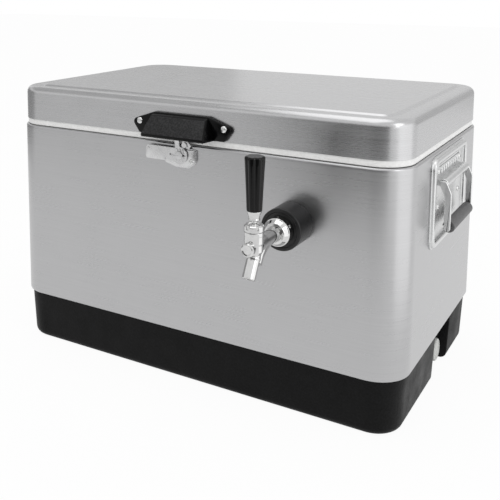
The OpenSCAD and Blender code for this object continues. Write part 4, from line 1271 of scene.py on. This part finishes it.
@dataclass
class Handle:
    """One side handle: pressed plate, rolled barrel, swinging bail and rubber grip."""

    shop: Workshop
    side: Side
    wall_x: float = 305.0
    half_y: float = 90.0
    low: float = 213.0
    high: float = 335.0
    corner: float = 16.0
    sheet: float = 1.5
    rim: float = 6.0
    slot_half: float = 54.0
    slot_tall: float = 1.8
    slot_rows: Point2 = (318.3, 322.2)
    rib_z: float = 311.5
    rib_half: tuple[float, float, float] = (1.6, 2.4, 5.0)
    pivot_off: float = 9.0
    pivot_z: float = 298.0
    barrel: float = 6.0
    barrel_half: float = 59.0
    grip_off: float = 16.0
    grip_z: float = 240.0
    grip_r: float = 8.0
    grip_half: float = 53.0
    rod_r: float = 4.0
    pin_r: float = 2.95
    arm_y: float = 60.8
    strap: float = 8.4
    strap_t: float = 3.0

    def __post_init__(self) -> None:
        """Works out the side's name and its body."""
        self.word = self.side.name.lower()
        self.swinging = f"handle_{self.word}"

    def mirrored(self, axes: Corners, y: float = 0.0) -> Matrix:
        """A local frame on the side's wall, whose axes are the columns of three rows."""
        rows = [(*row, move) for row, move in zip(axes, (self.wall_x, y, 0))]
        return Matrix.Diagonal((self.side.value, 1, 1, 1)) @ Matrix((*rows, (0, 0, 0, 1)))

    def frame(self) -> Matrix:
        """Local frame of the plate: along the side, up, out."""
        return self.mirrored(((0, 0, 1), (1, 0, 0), (0, 1, 0)))

    def across(self, y: float = 0.0) -> Matrix:
        """Local frame of a strap: out of the wall, up, along the side."""
        return self.mirrored(((1, 0, 0), (0, 0, 1), (0, 1, 0)), y)

    def shape(self, inset: float) -> Outline:
        """Outline of the plate moved in by an inset.

        Args:
            inset: the distance.

        Returns:
            The outline.
        """
        middle = (self.low + self.high) / 2
        tall = self.high - self.low - 2 * inset
        box = rounded_box(2 * (self.half_y - inset), tall, max(self.corner - inset, 3), 8, 1)
        return [(y, z + middle) for y, z in box]

    def plate(self) -> None:
        """The pressed plate: flange, raised rolled rim, two slots and a row of ribs."""
        s, rim = self.sheet, self.rim
        profile = rounded([(0, 0.05, 0), (0, s, 0.4), (2.0, s + 0.1, 0.8), (2.8, rim - 0.8, 1.8),
                           (5.4, rim, 2.0), (8.4, rim, 1.8), (10.2, rim - 1.2, 1.4), (10.8, s + 0.2, 1.2),
                           (13.5, s, 0)], 5, 0.4)
        piece = skin(f"handle_plate_{self.word}_pressed", relief(self.shape, profile, self.frame()))
        near, far = sorted(self.side.value * x for x in (self.wall_x + 0.4, self.wall_x + 5))
        half = self.slot_tall / 2
        carve(piece, [block((near, -self.slot_half, z - half), (far, self.slot_half, z + half))
                      for z in self.slot_rows])
        dress(piece, POLISHED_STEEL, "box", "polished_plate", f"handle_plate_{self.word}")
        spots = [Vector((self.side.value * (self.wall_x + s), y, self.rib_z)) for y in range(-42, 43, 12)]
        ribs = self.shop.bump_row(f"handle_ribs_{self.word}", spots, self.rib_half, POLISHED_STEEL)
        dress(ribs, POLISHED_STEEL, "box", "polished_plate")

    def knuckle(self) -> None:
        """The rolled barrel that holds the bail, wrapped from the plate."""
        cx, cz, r = self.pivot_off, self.pivot_z, self.barrel
        arc = [(cx + r * math.cos(math.radians(a)), cz + r * math.sin(math.radians(a)))
               for a in range(96, -131, -14)]
        wrap = [(0.6, cz + 5.2), *arc, (0.6, cz - 2.5)]
        piece = skin(f"handle_barrel_{self.word}", bar(wrap[::-1], self.barrel_half, 0.6, self.across()),
                     crease_deg=28.0)
        dress(piece, POLISHED_STEEL, "box", "polished_plate")

    def bail(self) -> None:
        """The swinging bail: two flat straps with a knee, the pin and the rod inside the grip."""
        w, t = self.strap / 2, self.strap_t / 2
        px, pz, gx, gz = self.pivot_off, self.pivot_z, self.grip_off, self.grip_z
        outline = rounded([(px - w + 0.1, pz + w, 3.6), (px - w, pz - 1, 3), (gx - w, pz - 18, 9),
                           (gx - w, gz - w, 4), (gx + w, gz - w, 4), (gx + w, pz - 12, 9),
                           (px + w, pz + w - 0.5, 3.6)], 6, 0.6, closed=True)
        straps = [slab(outline, -t, t, self.across(sign * self.arm_y), 0.7) for sign in (1, -1)]
        rods = [lathe([(r, -self.arm_y), (r, self.arm_y)], self.across() @ shift(x, z, 0), 32)
                for x, z, r in ((gx, gz, self.rod_r - 0.05), (px, pz, self.pin_r))]
        piece = skin(f"bail_{self.word}_strap", *straps, *rods)
        dress(piece, POLISHED_STEEL, self.swinging, "polished_plate", f"bail_{self.word}")

    def grip(self) -> None:
        """The split rubber sleeve, open towards the box."""
        r, bore = self.grip_r, self.rod_r + 0.15
        gap, lean = math.radians(24), math.radians(190)
        outer = [(r, lean + gap * 0.55 + (FULL_TURN - gap * 1.1) * k / 40) for k in range(41)]
        inner = [(bore, lean + gap + (FULL_TURN - 2 * gap) * k / 32) for k in range(33)]
        ring = [(self.grip_off + q * math.cos(a), self.grip_z + q * math.sin(a))
                for q, a in outer + inner[::-1]]
        piece = skin(f"grip_{self.word}_sleeve", bar(ring, self.grip_half, 0.7, self.across()))
        dress(piece, GRIP_RUBBER, self.swinging, "grip_rubber", f"grip_{self.word}")

    def build(self) -> None:
        """Builds this side's handle."""
        self.plate()
        self.knuckle()
        self.bail()
        self.grip()


@dataclass
class Screws:
    """Screw heads of the handles and hinges."""

    shop: Workshop
    radius: float = 4.2
    height: float = 2.0
    plate_x: float = 306.5
    plate_y: float = 56.0
    plate_rows: Point2 = (265.0, 312.0)
    hinge_x: float = 190.0
    hinge_half: float = 24.0
    leaves: tuple[tuple[str, float, float, str], ...] = (("body", 318.0, 196.5, "box"),
                                                         ("lid", 370.0, 196.0, "lid"))

    def build(self) -> None:
        """Puts every head on its plate."""
        spots = [Vector((side * self.plate_x, y, z))
                 for side in (1, -1) for y in (-self.plate_y, self.plate_y) for z in self.plate_rows]
        ways = [Vector((side, 0, 0)) for side in (1, -1) for _ in range(4)]
        self.shop.screw_heads("handle_screw_heads", spots, ways, self.radius, self.height, "box",
                              "handle_screws")
        for word, z, y, body in self.leaves:
            spots = [Vector((s * self.hinge_x + x, y, z))
                     for s in (1, -1) for x in (-self.hinge_half, self.hinge_half)]
            self.shop.screw_heads(f"hinge_{word}_screw_heads", spots, [BACKWARD] * 4, self.radius,
                                  self.height, body, f"hinge_{word}_screws")


# ------------------------------------------------------------------ faucet


@dataclass
class Faucet:
    """The beer faucet: black collar, coupling nut, chrome body, bonnet, ferrule and handle."""

    x: float = 165.0
    z: float = 259.0
    front_y: float = -195.0
    bore_r: float = 11.2
    collar_r: float = 26.5
    collar_len: float = 40.0
    nut_r: float = 17.5
    spanner_hole: float = 2.3
    head: float = 110.0
    head_r: float = 11.5
    barrel_r: float = 9.5
    neck_r: float = 8.6
    spout_start: float = 103.0
    spout_len: float = 40.5
    spout_r: float = 8.0
    spout_angle: float = 60.0
    lever_rise: float = 22.0
    ferrule_z: float = 31.0
    ferrule_h: float = 11.0
    handle_z: float = 42.0
    handle_len: float = 63.0
    handle_foot: float = 9.0
    handle_top: float = 11.8
    lobes: int = 6
    valley: float = 0.15

    def frame(self) -> Matrix:
        """Local frame of the tap: Z out of the box along the shank."""
        return on_front(self.x, self.z, self.front_y)

    def upright(self) -> Matrix:
        """Local frame of the faucet head: Z up."""
        return shift(self.x, self.front_y - self.head, self.z)

    def collar(self) -> None:
        """The thick black collar: a barrel with a rounded front rim and a shallow dished face."""
        r, n, bore = self.collar_r, self.collar_len, self.bore_r
        profile = rounded([(bore, 0.05, 0), (r - 0.6, 0.05, 0.5), (r - 0.6, 5, 0.4), (r, 5.6, 0.4),
                           (r, n, 1.8), (r - 4.2, n - 0.2, 0.8), (r - 4.8, n - 0.9, 0.6),
                           (bore, n - 1.2, 0)], 6, 0.5)
        piece = turned("collar_barrel", profile, self.frame(), 96)
        dress(piece, COLLAR_PLASTIC, "box", "black_collar", "tap_collar")

    def nut(self) -> None:
        """The chrome coupling nut with its shoulder and spanner holes."""
        r = self.nut_r
        profile = rounded([(14.4, 40.3, 0), (r - 0.4, 40.3, 0.4), (r, 41.0, 0.4), (r, 51.0, 0.8),
                           (r - 1.2, 51.6, 0.5), (r - 4.6, 57.0, 1.4), (9.7, 57.3, 0), (9.7, 50.2, 0),
                           (14.4, 50.1, 0)], 5, 0.4)
        piece = turned("coupling_nut_turned", profile, self.frame(), 96)
        carve(piece, [drill(self.spanner_hole, -1.8, 3, self.frame() @ spin(angle) @ shift(r, 0, 46.0) @
                            spin(90, "Y"), 24) for angle in range(30, 360, 60)])
        dress(piece, CHROME, "box", "chrome_fitting", "coupling_nut")

    def chrome_body(self) -> None:
        """The cast body: flange, waisted barrel, upright head, front disc and spout."""
        br, hr, d, n, r = self.barrel_r, self.head_r, self.head, self.spout_len, self.spout_r
        barrel = rounded([(13.4, 46.1, 0), (13.4, 50.0, 0.5), (br, 50.2, 0), (br, 62, 2), (br - 0.9, 66, 2),
                          (br - 0.9, d - 22, 3), (br, d - 12, 3), (br, d, 0)], 5, 0.8)
        front = rounded([(6.0, d, 0), (7.2, d + 8, 1), (7.2, d + 11.6, 0.8), (8.0, d + 12.4, 0.5),
                         (8.0, d + 16.6, 0.8), (6.4, d + 17.9, 0.8), (4.6, d + 17.4, 0.5),
                         (0, d + 17.4, 0)], 5, 0.3)
        upright = rounded([(0, -9, 0), (8.5, -9, 2.0), (hr - 0.8, -5, 2.5), (hr - 0.8, 3, 1.5),
                           (hr - 0.2, 5, 1.0), (hr - 0.2, 13.4, 0.6), (hr, 14.2, 0.4), (hr, 18.2, 0.4),
                           (0, 18.2, 0)], 5, 0.5)
        spout = rounded([(r - 0.2, 0, 0), (r - 0.2, 13, 0), (r + 0.35, 15, 0.6), (r + 0.35, 16.5, 0.6),
                         (r - 0.1, 18.4, 0.6), (r - 0.1, n - 1, 0.6), (r - 0.7, n, 0.4), (5.1, n, 0.4),
                         (5.0, n - 22, 0), (0, n - 22, 0)], 4, 0.5)
        down = self.frame() @ shift(0, 0, self.spout_start) @ spin(self.spout_angle, "X")
        body = turned("faucet_barrel", barrel, self.frame(), 64, False)
        carve(body, [turned("front", front, self.frame(), 64, False),
                     turned("upright", upright, self.upright(), 72, False),
                     turned("spout", spout, down, 64, False), self.neck()], "UNION")
        carve(body, [drill(1.5, 3.0, 12.0, down @ shift(0, 0, 21.5) @ spin(90, "X"), 20),
                     drill(7.5, 12.0, 20.0, self.upright(), 40)])
        body.name = "faucet_body_cast"
        dress(body, CHROME, "box", "chrome_fitting", "faucet_body")

    def neck(self) -> Piece:
        """The curved neck that flows from the barrel down into the spout.

        Returns:
            The neck, to be joined to the body.
        """
        path = smooth_path([(0, -0.5, 57), (0, -0.5, 66), (0, -2.5, 78), (0, -6, 90), (0, -12.5, 101),
                            (0, -20, 107.5)], 6)
        last, side, waist = len(path) - 1, Vector((1, 0, 0)), 0.8
        rings = []
        for i, spot in enumerate(path):
            ahead = (path[min(i + 1, last)] - path[max(i - 1, 0)]).normalized()
            lift = side.cross(ahead)
            r = self.neck_r - waist * math.sin(math.pi * i / last)
            rings.append([self.frame() @ (spot + r * (math.cos(a) * side + math.sin(a) * lift))
                          for a in (FULL_TURN * k / 48 for k in range(48))])
        return skin("neck", rings)

    def bonnet(self) -> None:
        """The notched ring round the lever's ball."""
        hr, top = self.head_r + 0.3, self.lever_rise + 4.5
        profile = rounded([(6.8, 18.4, 0), (hr - 0.5, 18.4, 0.4), (hr, 19.2, 0.4), (hr, top - 1.6, 1.0),
                           (hr - 1.8, top, 0.8), (8.0, top, 0.5), (6.8, top - 3, 0)], 5, 0.4)
        piece = turned("bonnet_ring", profile, self.upright())
        notch = rounded_box(5.0, 3.4, 1.2, 3, 0.3)
        carve(piece, [skin("cutter", relief(partial(shrink, notch), [(0, top - 5.0), (0, top + 2)],
                                            self.upright() @ spin(angle) @ shift(hr + 0.6, 0, 0)))
                      for angle in range(15, 360, 60)])
        dress(piece, CHROME, "box", "chrome_fitting", "faucet_bonnet")

    def ferrule(self) -> None:
        """The chrome cone under the handle, with a bead at its foot."""
        a, b = self.ferrule_z, self.ferrule_z + self.ferrule_h
        profile = rounded([(3.3, a, 0), (6.4, a, 0.6), (6.9, a + 1.2, 0.5), (6.2, a + 2.4, 0.5),
                           (8.4, b - 1.4, 0.4), (8.6, b, 0.3), (3.3, b, 0)], 4, 0.3)
        dress(turned("handle_ferrule", profile, self.upright(), 64), CHROME, "tap", "chrome_fitting",
              "tap_ferrule")

    def lobed(self, angle: float, radius: float) -> float:
        """Share of the handle's radius at an angle: rounded lobes that meet in valleys."""
        return 1 - self.valley * (1 - abs(math.sin(self.lobes / 2 * angle))) ** 1.2

    def handle(self) -> None:
        """The black handle, wider at the top."""
        n, foot, top, steps = self.handle_len, self.handle_foot, self.handle_top, 8
        rise = [(foot + (top - foot) * t ** 1.15, 1.6 + (n - 4.2) * t)
                for t in (k / steps for k in range(1, steps + 1))]
        stack = [(foot - 1.2, 0.0), (foot - 0.2, 0.5), (foot, 1.6), *rise, (top - 0.15, n - 1.6),
                 (top - 0.7, n - 0.6), (top - 1.7, n)]
        rings = lathe([(r, self.handle_z + h) for r, h in stack], self.upright(), 144, self.lobed)
        dress(skin("tap_handle_lobed", rings, crease_deg=26.0), HANDLE_PLASTIC, "tap", "black_handle",
              "tap_handle")

    def build(self) -> None:
        """Builds the faucet."""
        self.collar()
        self.nut()
        self.chrome_body()
        self.bonnet()
        self.ferrule()
        self.handle()


# ------------------------------------------------------------------ coil, hoses, inlet and drain


@dataclass
class Plumbing:
    """The cooling coil, its hoses, the rear inlet and the drain cap."""

    shop: Workshop
    body: Body
    faucet: Faucet
    coil_x: float = 120.0
    coil_y: float = 8.0
    coil_r: float = 80.0
    tube_r: float = 4.0
    turns: float = 22.75
    pitch: float = 8.5
    coil_low: float = 37.05
    steps: int = 60
    riser_x: float = 50.0
    riser_y: float = 24.0
    tail_y: float = 14.0
    hose_r: float = 6.5
    shank_end: float = 105.0
    inlet_x: float = 100.0
    thread_r: float = 11.1
    thread_root: float = 10.2
    thread_pitch: float = 1.8
    threads: int = 14
    cap_face: float = 299.0
    cap_skirt: float = 14.0
    flutes: int = 20

    def __post_init__(self) -> None:
        """Works out the coil's top and where its two ends stand."""
        self.top = self.coil_low + 23 * self.pitch
        self.riser = (self.coil_x + self.riser_x, self.coil_y + self.coil_r + self.riser_y)
        self.tail = (self.coil_x + self.coil_r, self.coil_y + self.tail_y)

    def coil(self) -> None:
        """The stainless coil with its riser and its top tail."""
        x, y, r, z, top = self.coil_x, self.coil_y, self.coil_r, self.coil_low, self.top
        up = self.riser
        riser = [(*up, top + 4), (*up, z + 130), (*up, z + 40), (x + 44, y + r + 21, z + 14),
                 (x + 26, y + r + 8, z)]
        helix = []
        for k in range(int(self.turns * self.steps) - 3):
            a = math.radians(90) + FULL_TURN * k / self.steps
            helix.append(Vector((x + r * math.cos(a), y + r * math.sin(a), z + self.pitch * k / self.steps)))
        tail = [(x + r, y - 4, top - 1), (x + r, y + 8, top + 4),
                *((*self.tail, top + h) for h in (11, 15, 26))]
        path = smooth_path(riser)[:-1] + helix + smooth_path(tail, 5)
        tube = self.shop.tube("cooling_coil_tube", path, self.tube_r, 12, COIL_STEEL)
        dress(tube, COIL_STEEL, "box", "coil_steel", "cooling_coil")

    def hoses(self) -> None:
        """The two short clear hoses, from shank to coil."""
        x, y, z, top = self.faucet.x, -self.shank_end, self.faucet.z, self.top
        tx, ty = self.tail
        tap = [(x, y - 20, z), (x, y - 8, z), (x, y + 5, z + 2), (x + 4, y + 24, z + 14),
               (tx - 18, ty - 62, z + 34), (tx - 8, ty - 34, z + 49), (tx - 1, ty - 8, z + 46),
               (tx, ty, z + 26), (tx, ty, top + 26), (tx, ty, top + 16)]
        x, y = self.inlet_x, self.shank_end
        rx, ry = self.riser
        inlet = [(x, y + 20, z), (x, y + 8, z), (x, y - 6, z + 1), (x + 6, y - 26, z + 8),
                 (x + 24, y - 42, z + 20), (rx - 22, ry - 50, z + 31), (rx - 5, ry - 24, z + 30),
                 (rx, ry - 2, z + 16), (rx, ry, top + 16), (rx, ry, top - 12)]
        for word, points in (("tap", tap), ("inlet", inlet)):
            hose = self.shop.tube(f"{word}_side_hose", smooth_path(points), self.hose_r, 20, HOSE)
            dress(hose, HOSE, "box", "hose_vinyl", f"{word}_hose")

    def inlet(self) -> None:
        """The rear bulkhead: a collar and a shank with its thread."""
        place = shift(self.inlet_x, self.body.depth / 2, self.faucet.z) @ spin(-90, "X")
        collar = rounded([(11.2, 0.05, 0), (21.4, 0.05, 0.4), (22, 1.0, 0.5), (22, 12, 1.8),
                          (18.5, 11.8, 0.6), (17.9, 11.1, 0.5), (11.2, 11.0, 0)], 5, 0.4)
        dress(turned("inlet_collar_turned", collar, place, 80), COLLAR_PLASTIC, "box", "black_collar",
              "inlet_collar")
        bore, back, shank, end = 3.2, -62.0, 10.9, 38.0
        root, crest = self.thread_root, self.thread_r
        thread = [(bore, back), (shank, back), (shank, 11.5)]
        for z in (12.4 + self.thread_pitch * k for k in range(self.threads)):
            thread += [(root, z), (root, z + 0.3), (crest, z + 0.8), (crest, z + 1.1), (root, z + 1.6)]
        thread += [(root, end), (bore, end)]
        piece = turned("inlet_shank_threaded", thread, place, 64)
        dress(piece, CHROME, "box", "chrome_fitting", "inlet_shank")

    def fluted(self, angle: float, radius: float) -> float:
        """Share of the cap's radius at an angle: shallow finger flutes round its skirt."""
        wave = 0.03 if radius > 13 else 0.0
        return 1 - wave * (1 - math.cos(self.flutes * angle)) / 2

    def drain(self) -> None:
        """The grey cap with finger flutes."""
        face, low = self.cap_face, self.cap_face - self.cap_skirt
        stack = [(15.4, low), (16.0, low + 0.8), (16.0, face - 2.2), (15.3, face - 0.7), (13.8, face),
                 (12.4, face), (11.6, face - 0.9), (0.5, face - 0.9)]
        rings = lathe(stack, self.body.across(), 120, self.fluted)
        dress(skin("drain_cap_fluted", rings, crease_deg=TURNED_CREASE_DEG), DRAIN_PLASTIC, "cap",
              "drain_cap_plastic", "drain_cap")

    def build(self) -> None:
        """Builds the plumbing."""
        self.coil()
        self.hoses()
        self.inlet()
        self.drain()


KEPT_NODES: dict[Finish, tuple[str, ...]] = {
    FOAM: ("body_foam", "lid_foam"),
    DRAIN_PLASTIC: ("drain_spout",),
    NITRILE: ("drain_washer", "valve_washer"),
    LATCH_STEEL: ("latch_strike",),
    HINGE_STEEL: ("hinge_body_leaves", "hinge_lid_leaves"),
    SCREW_STEEL: ("hinge_pins", "hose_clamps"),
    CHROME: ("tap_shank", "tap_lock_nut", "inlet_lock_nut", "tap_lever", "valve_shaft", "tap_tailpiece",
             "inlet_tailpiece"),
    BRASS: ("tap_tail_nut", "inlet_tail_nut"),
}


def dress_kept_nodes() -> None:
    """Gives each CAD node that stays its finish."""
    for finish, names in KEPT_NODES.items():
        for name in names:
            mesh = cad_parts[name].data
            mesh.materials.clear()
            mesh.materials.append(material_of(finish))
            LOG.info("%s: kept, %s", name, finish.name)


# ------------------------------------------------------------------ studio


@dataclass(frozen=True)
class Card:
    """A card of an even tone that only reflections see, in millimetres.

    It turns about the upright, from facing along Y, and leans from level at 0 to upright at 90.
    """

    name: str
    centre: tuple[float, float, float]
    width: float
    height: float
    turn_deg: float
    tone: float
    tilt_deg: float = 90.0

    def build(self) -> None:
        """Hangs the card."""
        place = shift(*self.centre) @ spin(self.turn_deg) @ spin(self.tilt_deg, "X")
        size = Matrix.Diagonal((self.width / 2, self.height / 2, 1, 1))
        bm = bmesh.new()
        bmesh.ops.create_grid(bm, x_segments=1, y_segments=1, size=1.0, matrix=place @ size)
        piece = settle(bm, self.name)
        material = bpy.data.materials.new(f"{self.name}_paper")
        graph = blank(material)
        shine = graph.add("ShaderNodeEmission", {"Color": WHITE, "Strength": self.tone})
        graph.add("ShaderNodeOutputMaterial", {"Surface": shine.outputs[0]})
        piece.data.materials.append(material)
        piece.visible_camera = piece.visible_diffuse = False
        piece.visible_shadow = piece.visible_transmission = False


@dataclass(frozen=True)
class Lamp:
    """A soft box aimed at a point, in metres."""

    name: str
    at: tuple[float, float, float]
    aim: tuple[float, float, float]
    size: Point2
    power: float

    def build(self) -> None:
        """Sets up the soft box."""
        data = bpy.data.lights.new(self.name, "AREA")
        data.shape = "RECTANGLE"
        data.size, data.size_y = self.size
        data.energy = self.power
        lamp = bpy.data.objects.new(self.name, data)
        lamp.location = self.at
        lamp.rotation_euler = (Vector(self.aim) - Vector(self.at)).to_track_quat("-Z", "Y").to_euler()
        bpy.context.scene.collection.objects.link(lamp)


@dataclass
class Studio:
    """Pale floor, white background, cards, soft lamps and the camera at the photograph's angle."""

    camera_at: tuple[float, float, float] = (0.5556, -1.0853, 0.5584)
    yaw_deg: float = 31.7
    pitch_deg: float = 7.5
    lens: float = 57.13
    sensor: float = 36.0
    shift: Point2 = (0.129, -0.33)
    open_light: float = 0.75
    floor_half: float = 9000.0
    floor_drop: float = 0.5
    floor_glow: float = 0.95
    cards: tuple[Card, ...] = (
        Card("front_flag", (450, -1250, 275), 1500, 550, 0.0, 0.16),
        Card("front_left_flag", (-1300, -1250, 275), 1990, 550, 0.0, 0.78),
        Card("left_flag", (-1700, -300, 400), 1800, 800, 90.0, 0.4),
        Card("ceiling_flag", (-1350, -300, 1500), 1900, 2400, 0.0, 0.62, 0.0),
        Card("back_wall_left", (-2600, 2600, 500), 2390, 1700, 0.0, 0.6),
        Card("back_wall_middle", (-450, 2600, 500), 1900, 1700, 0.0, 0.85),
        Card("back_wall_right", (1500, 2600, 500), 1990, 1700, 0.0, 0.68),
        Card("right_strip", (709, -100, 260), 480, 520, 90.0, 1.45),
    )
    lamps: tuple[Lamp, ...] = (
        Lamp("top_softbox", (-0.3, -0.3, 2.3), (0, 0, 0.2), (2.2, 2.2), 14.0),
        Lamp("right_softbox", (2.1, -0.7, 1.0), (0.2, 0, 0.25), (0.9, 1.5), 9.0),
    )

    def sky(self) -> None:
        """White all round for what sees it, and an even fill for the rest."""
        world = bpy.data.worlds.new("white_studio")
        bpy.context.scene.world = world
        graph = blank(world)
        level = graph.add("ShaderNodeMapRange", {"Value": graph.seen(), "To Min": self.open_light,
                                                 "To Max": 1.0})
        light = graph.add("ShaderNodeBackground", {"Color": WHITE, "Strength": level.outputs[0]})
        graph.add("ShaderNodeOutputWorld", {0: light.outputs[0]})

    def floor(self) -> None:
        """The pale floor: it keeps a soft shadow and runs out to white."""
        bm = bmesh.new()
        bmesh.ops.create_grid(bm, x_segments=1, y_segments=1, size=self.floor_half,
                              matrix=shift(0, 0, -self.floor_drop))
        piece = settle(bm, "studio_floor")
        material = bpy.data.materials.new("pale_matt_floor")
        graph = blank(material)
        tone = graph.two_tone(graph.noise(graph.place(60.0), 2.0), "#efefef", "#f3f3f3")
        matt = graph.add("ShaderNodeBsdfPrincipled", {"Roughness": 0.9, "Specular IOR Level": 0.1,
                                                      "Base Color": tone}).outputs[0]
        glow = graph.add("ShaderNodeEmission", {"Color": WHITE, "Strength": 1.0}).outputs[0]
        share = graph.maths("MULTIPLY", graph.seen(), self.floor_glow)
        blend = graph.add("ShaderNodeMixShader", {0: share, 1: matt, 2: glow})
        graph.add("ShaderNodeOutputMaterial", {"Surface": blend.outputs[0]})
        piece.data.materials.append(material)

    def camera(self) -> None:
        """The camera, fitted to the photograph's edges."""
        data = bpy.data.cameras.new("view_camera")
        data.lens, data.sensor_width = self.lens, self.sensor
        data.shift_x, data.shift_y = self.shift
        data.clip_start, data.clip_end = 0.05, 50.0
        camera = bpy.data.objects.new("view_camera", data)
        camera.location = self.camera_at
        camera.rotation_euler = (math.radians(90 - self.pitch_deg), 0, math.radians(self.yaw_deg))
        bpy.context.scene.collection.objects.link(camera)
        bpy.context.scene.camera = camera

    def build(self) -> None:
        """Sets the whole studio."""
        bpy.context.scene.view_settings.view_transform = "Standard"
        self.camera()
        self.sky()
        self.floor()
        for item in (*self.cards, *self.lamps):
            item.build()


def main() -> None:
    """Builds the studio and every sub-assembly."""
    logging.basicConfig(level=logging.INFO, format="%(name)s: %(message)s")
    Studio().build()
    shop = Workshop(screw_maker(), tube_maker(), bump_maker())
    body = Body(shop)
    faucet = Faucet()
    for part in (body, Lid(body), Pull(shop), Latch(shop), Handle(shop, Side.RIGHT), Handle(shop, Side.LEFT),
                 Screws(shop), faucet, Plumbing(shop, body, faucet)):
        LOG.info("building %s", type(part).__name__)
        part.build()
    dress_kept_nodes()


if __name__ == "__main__":
    main()
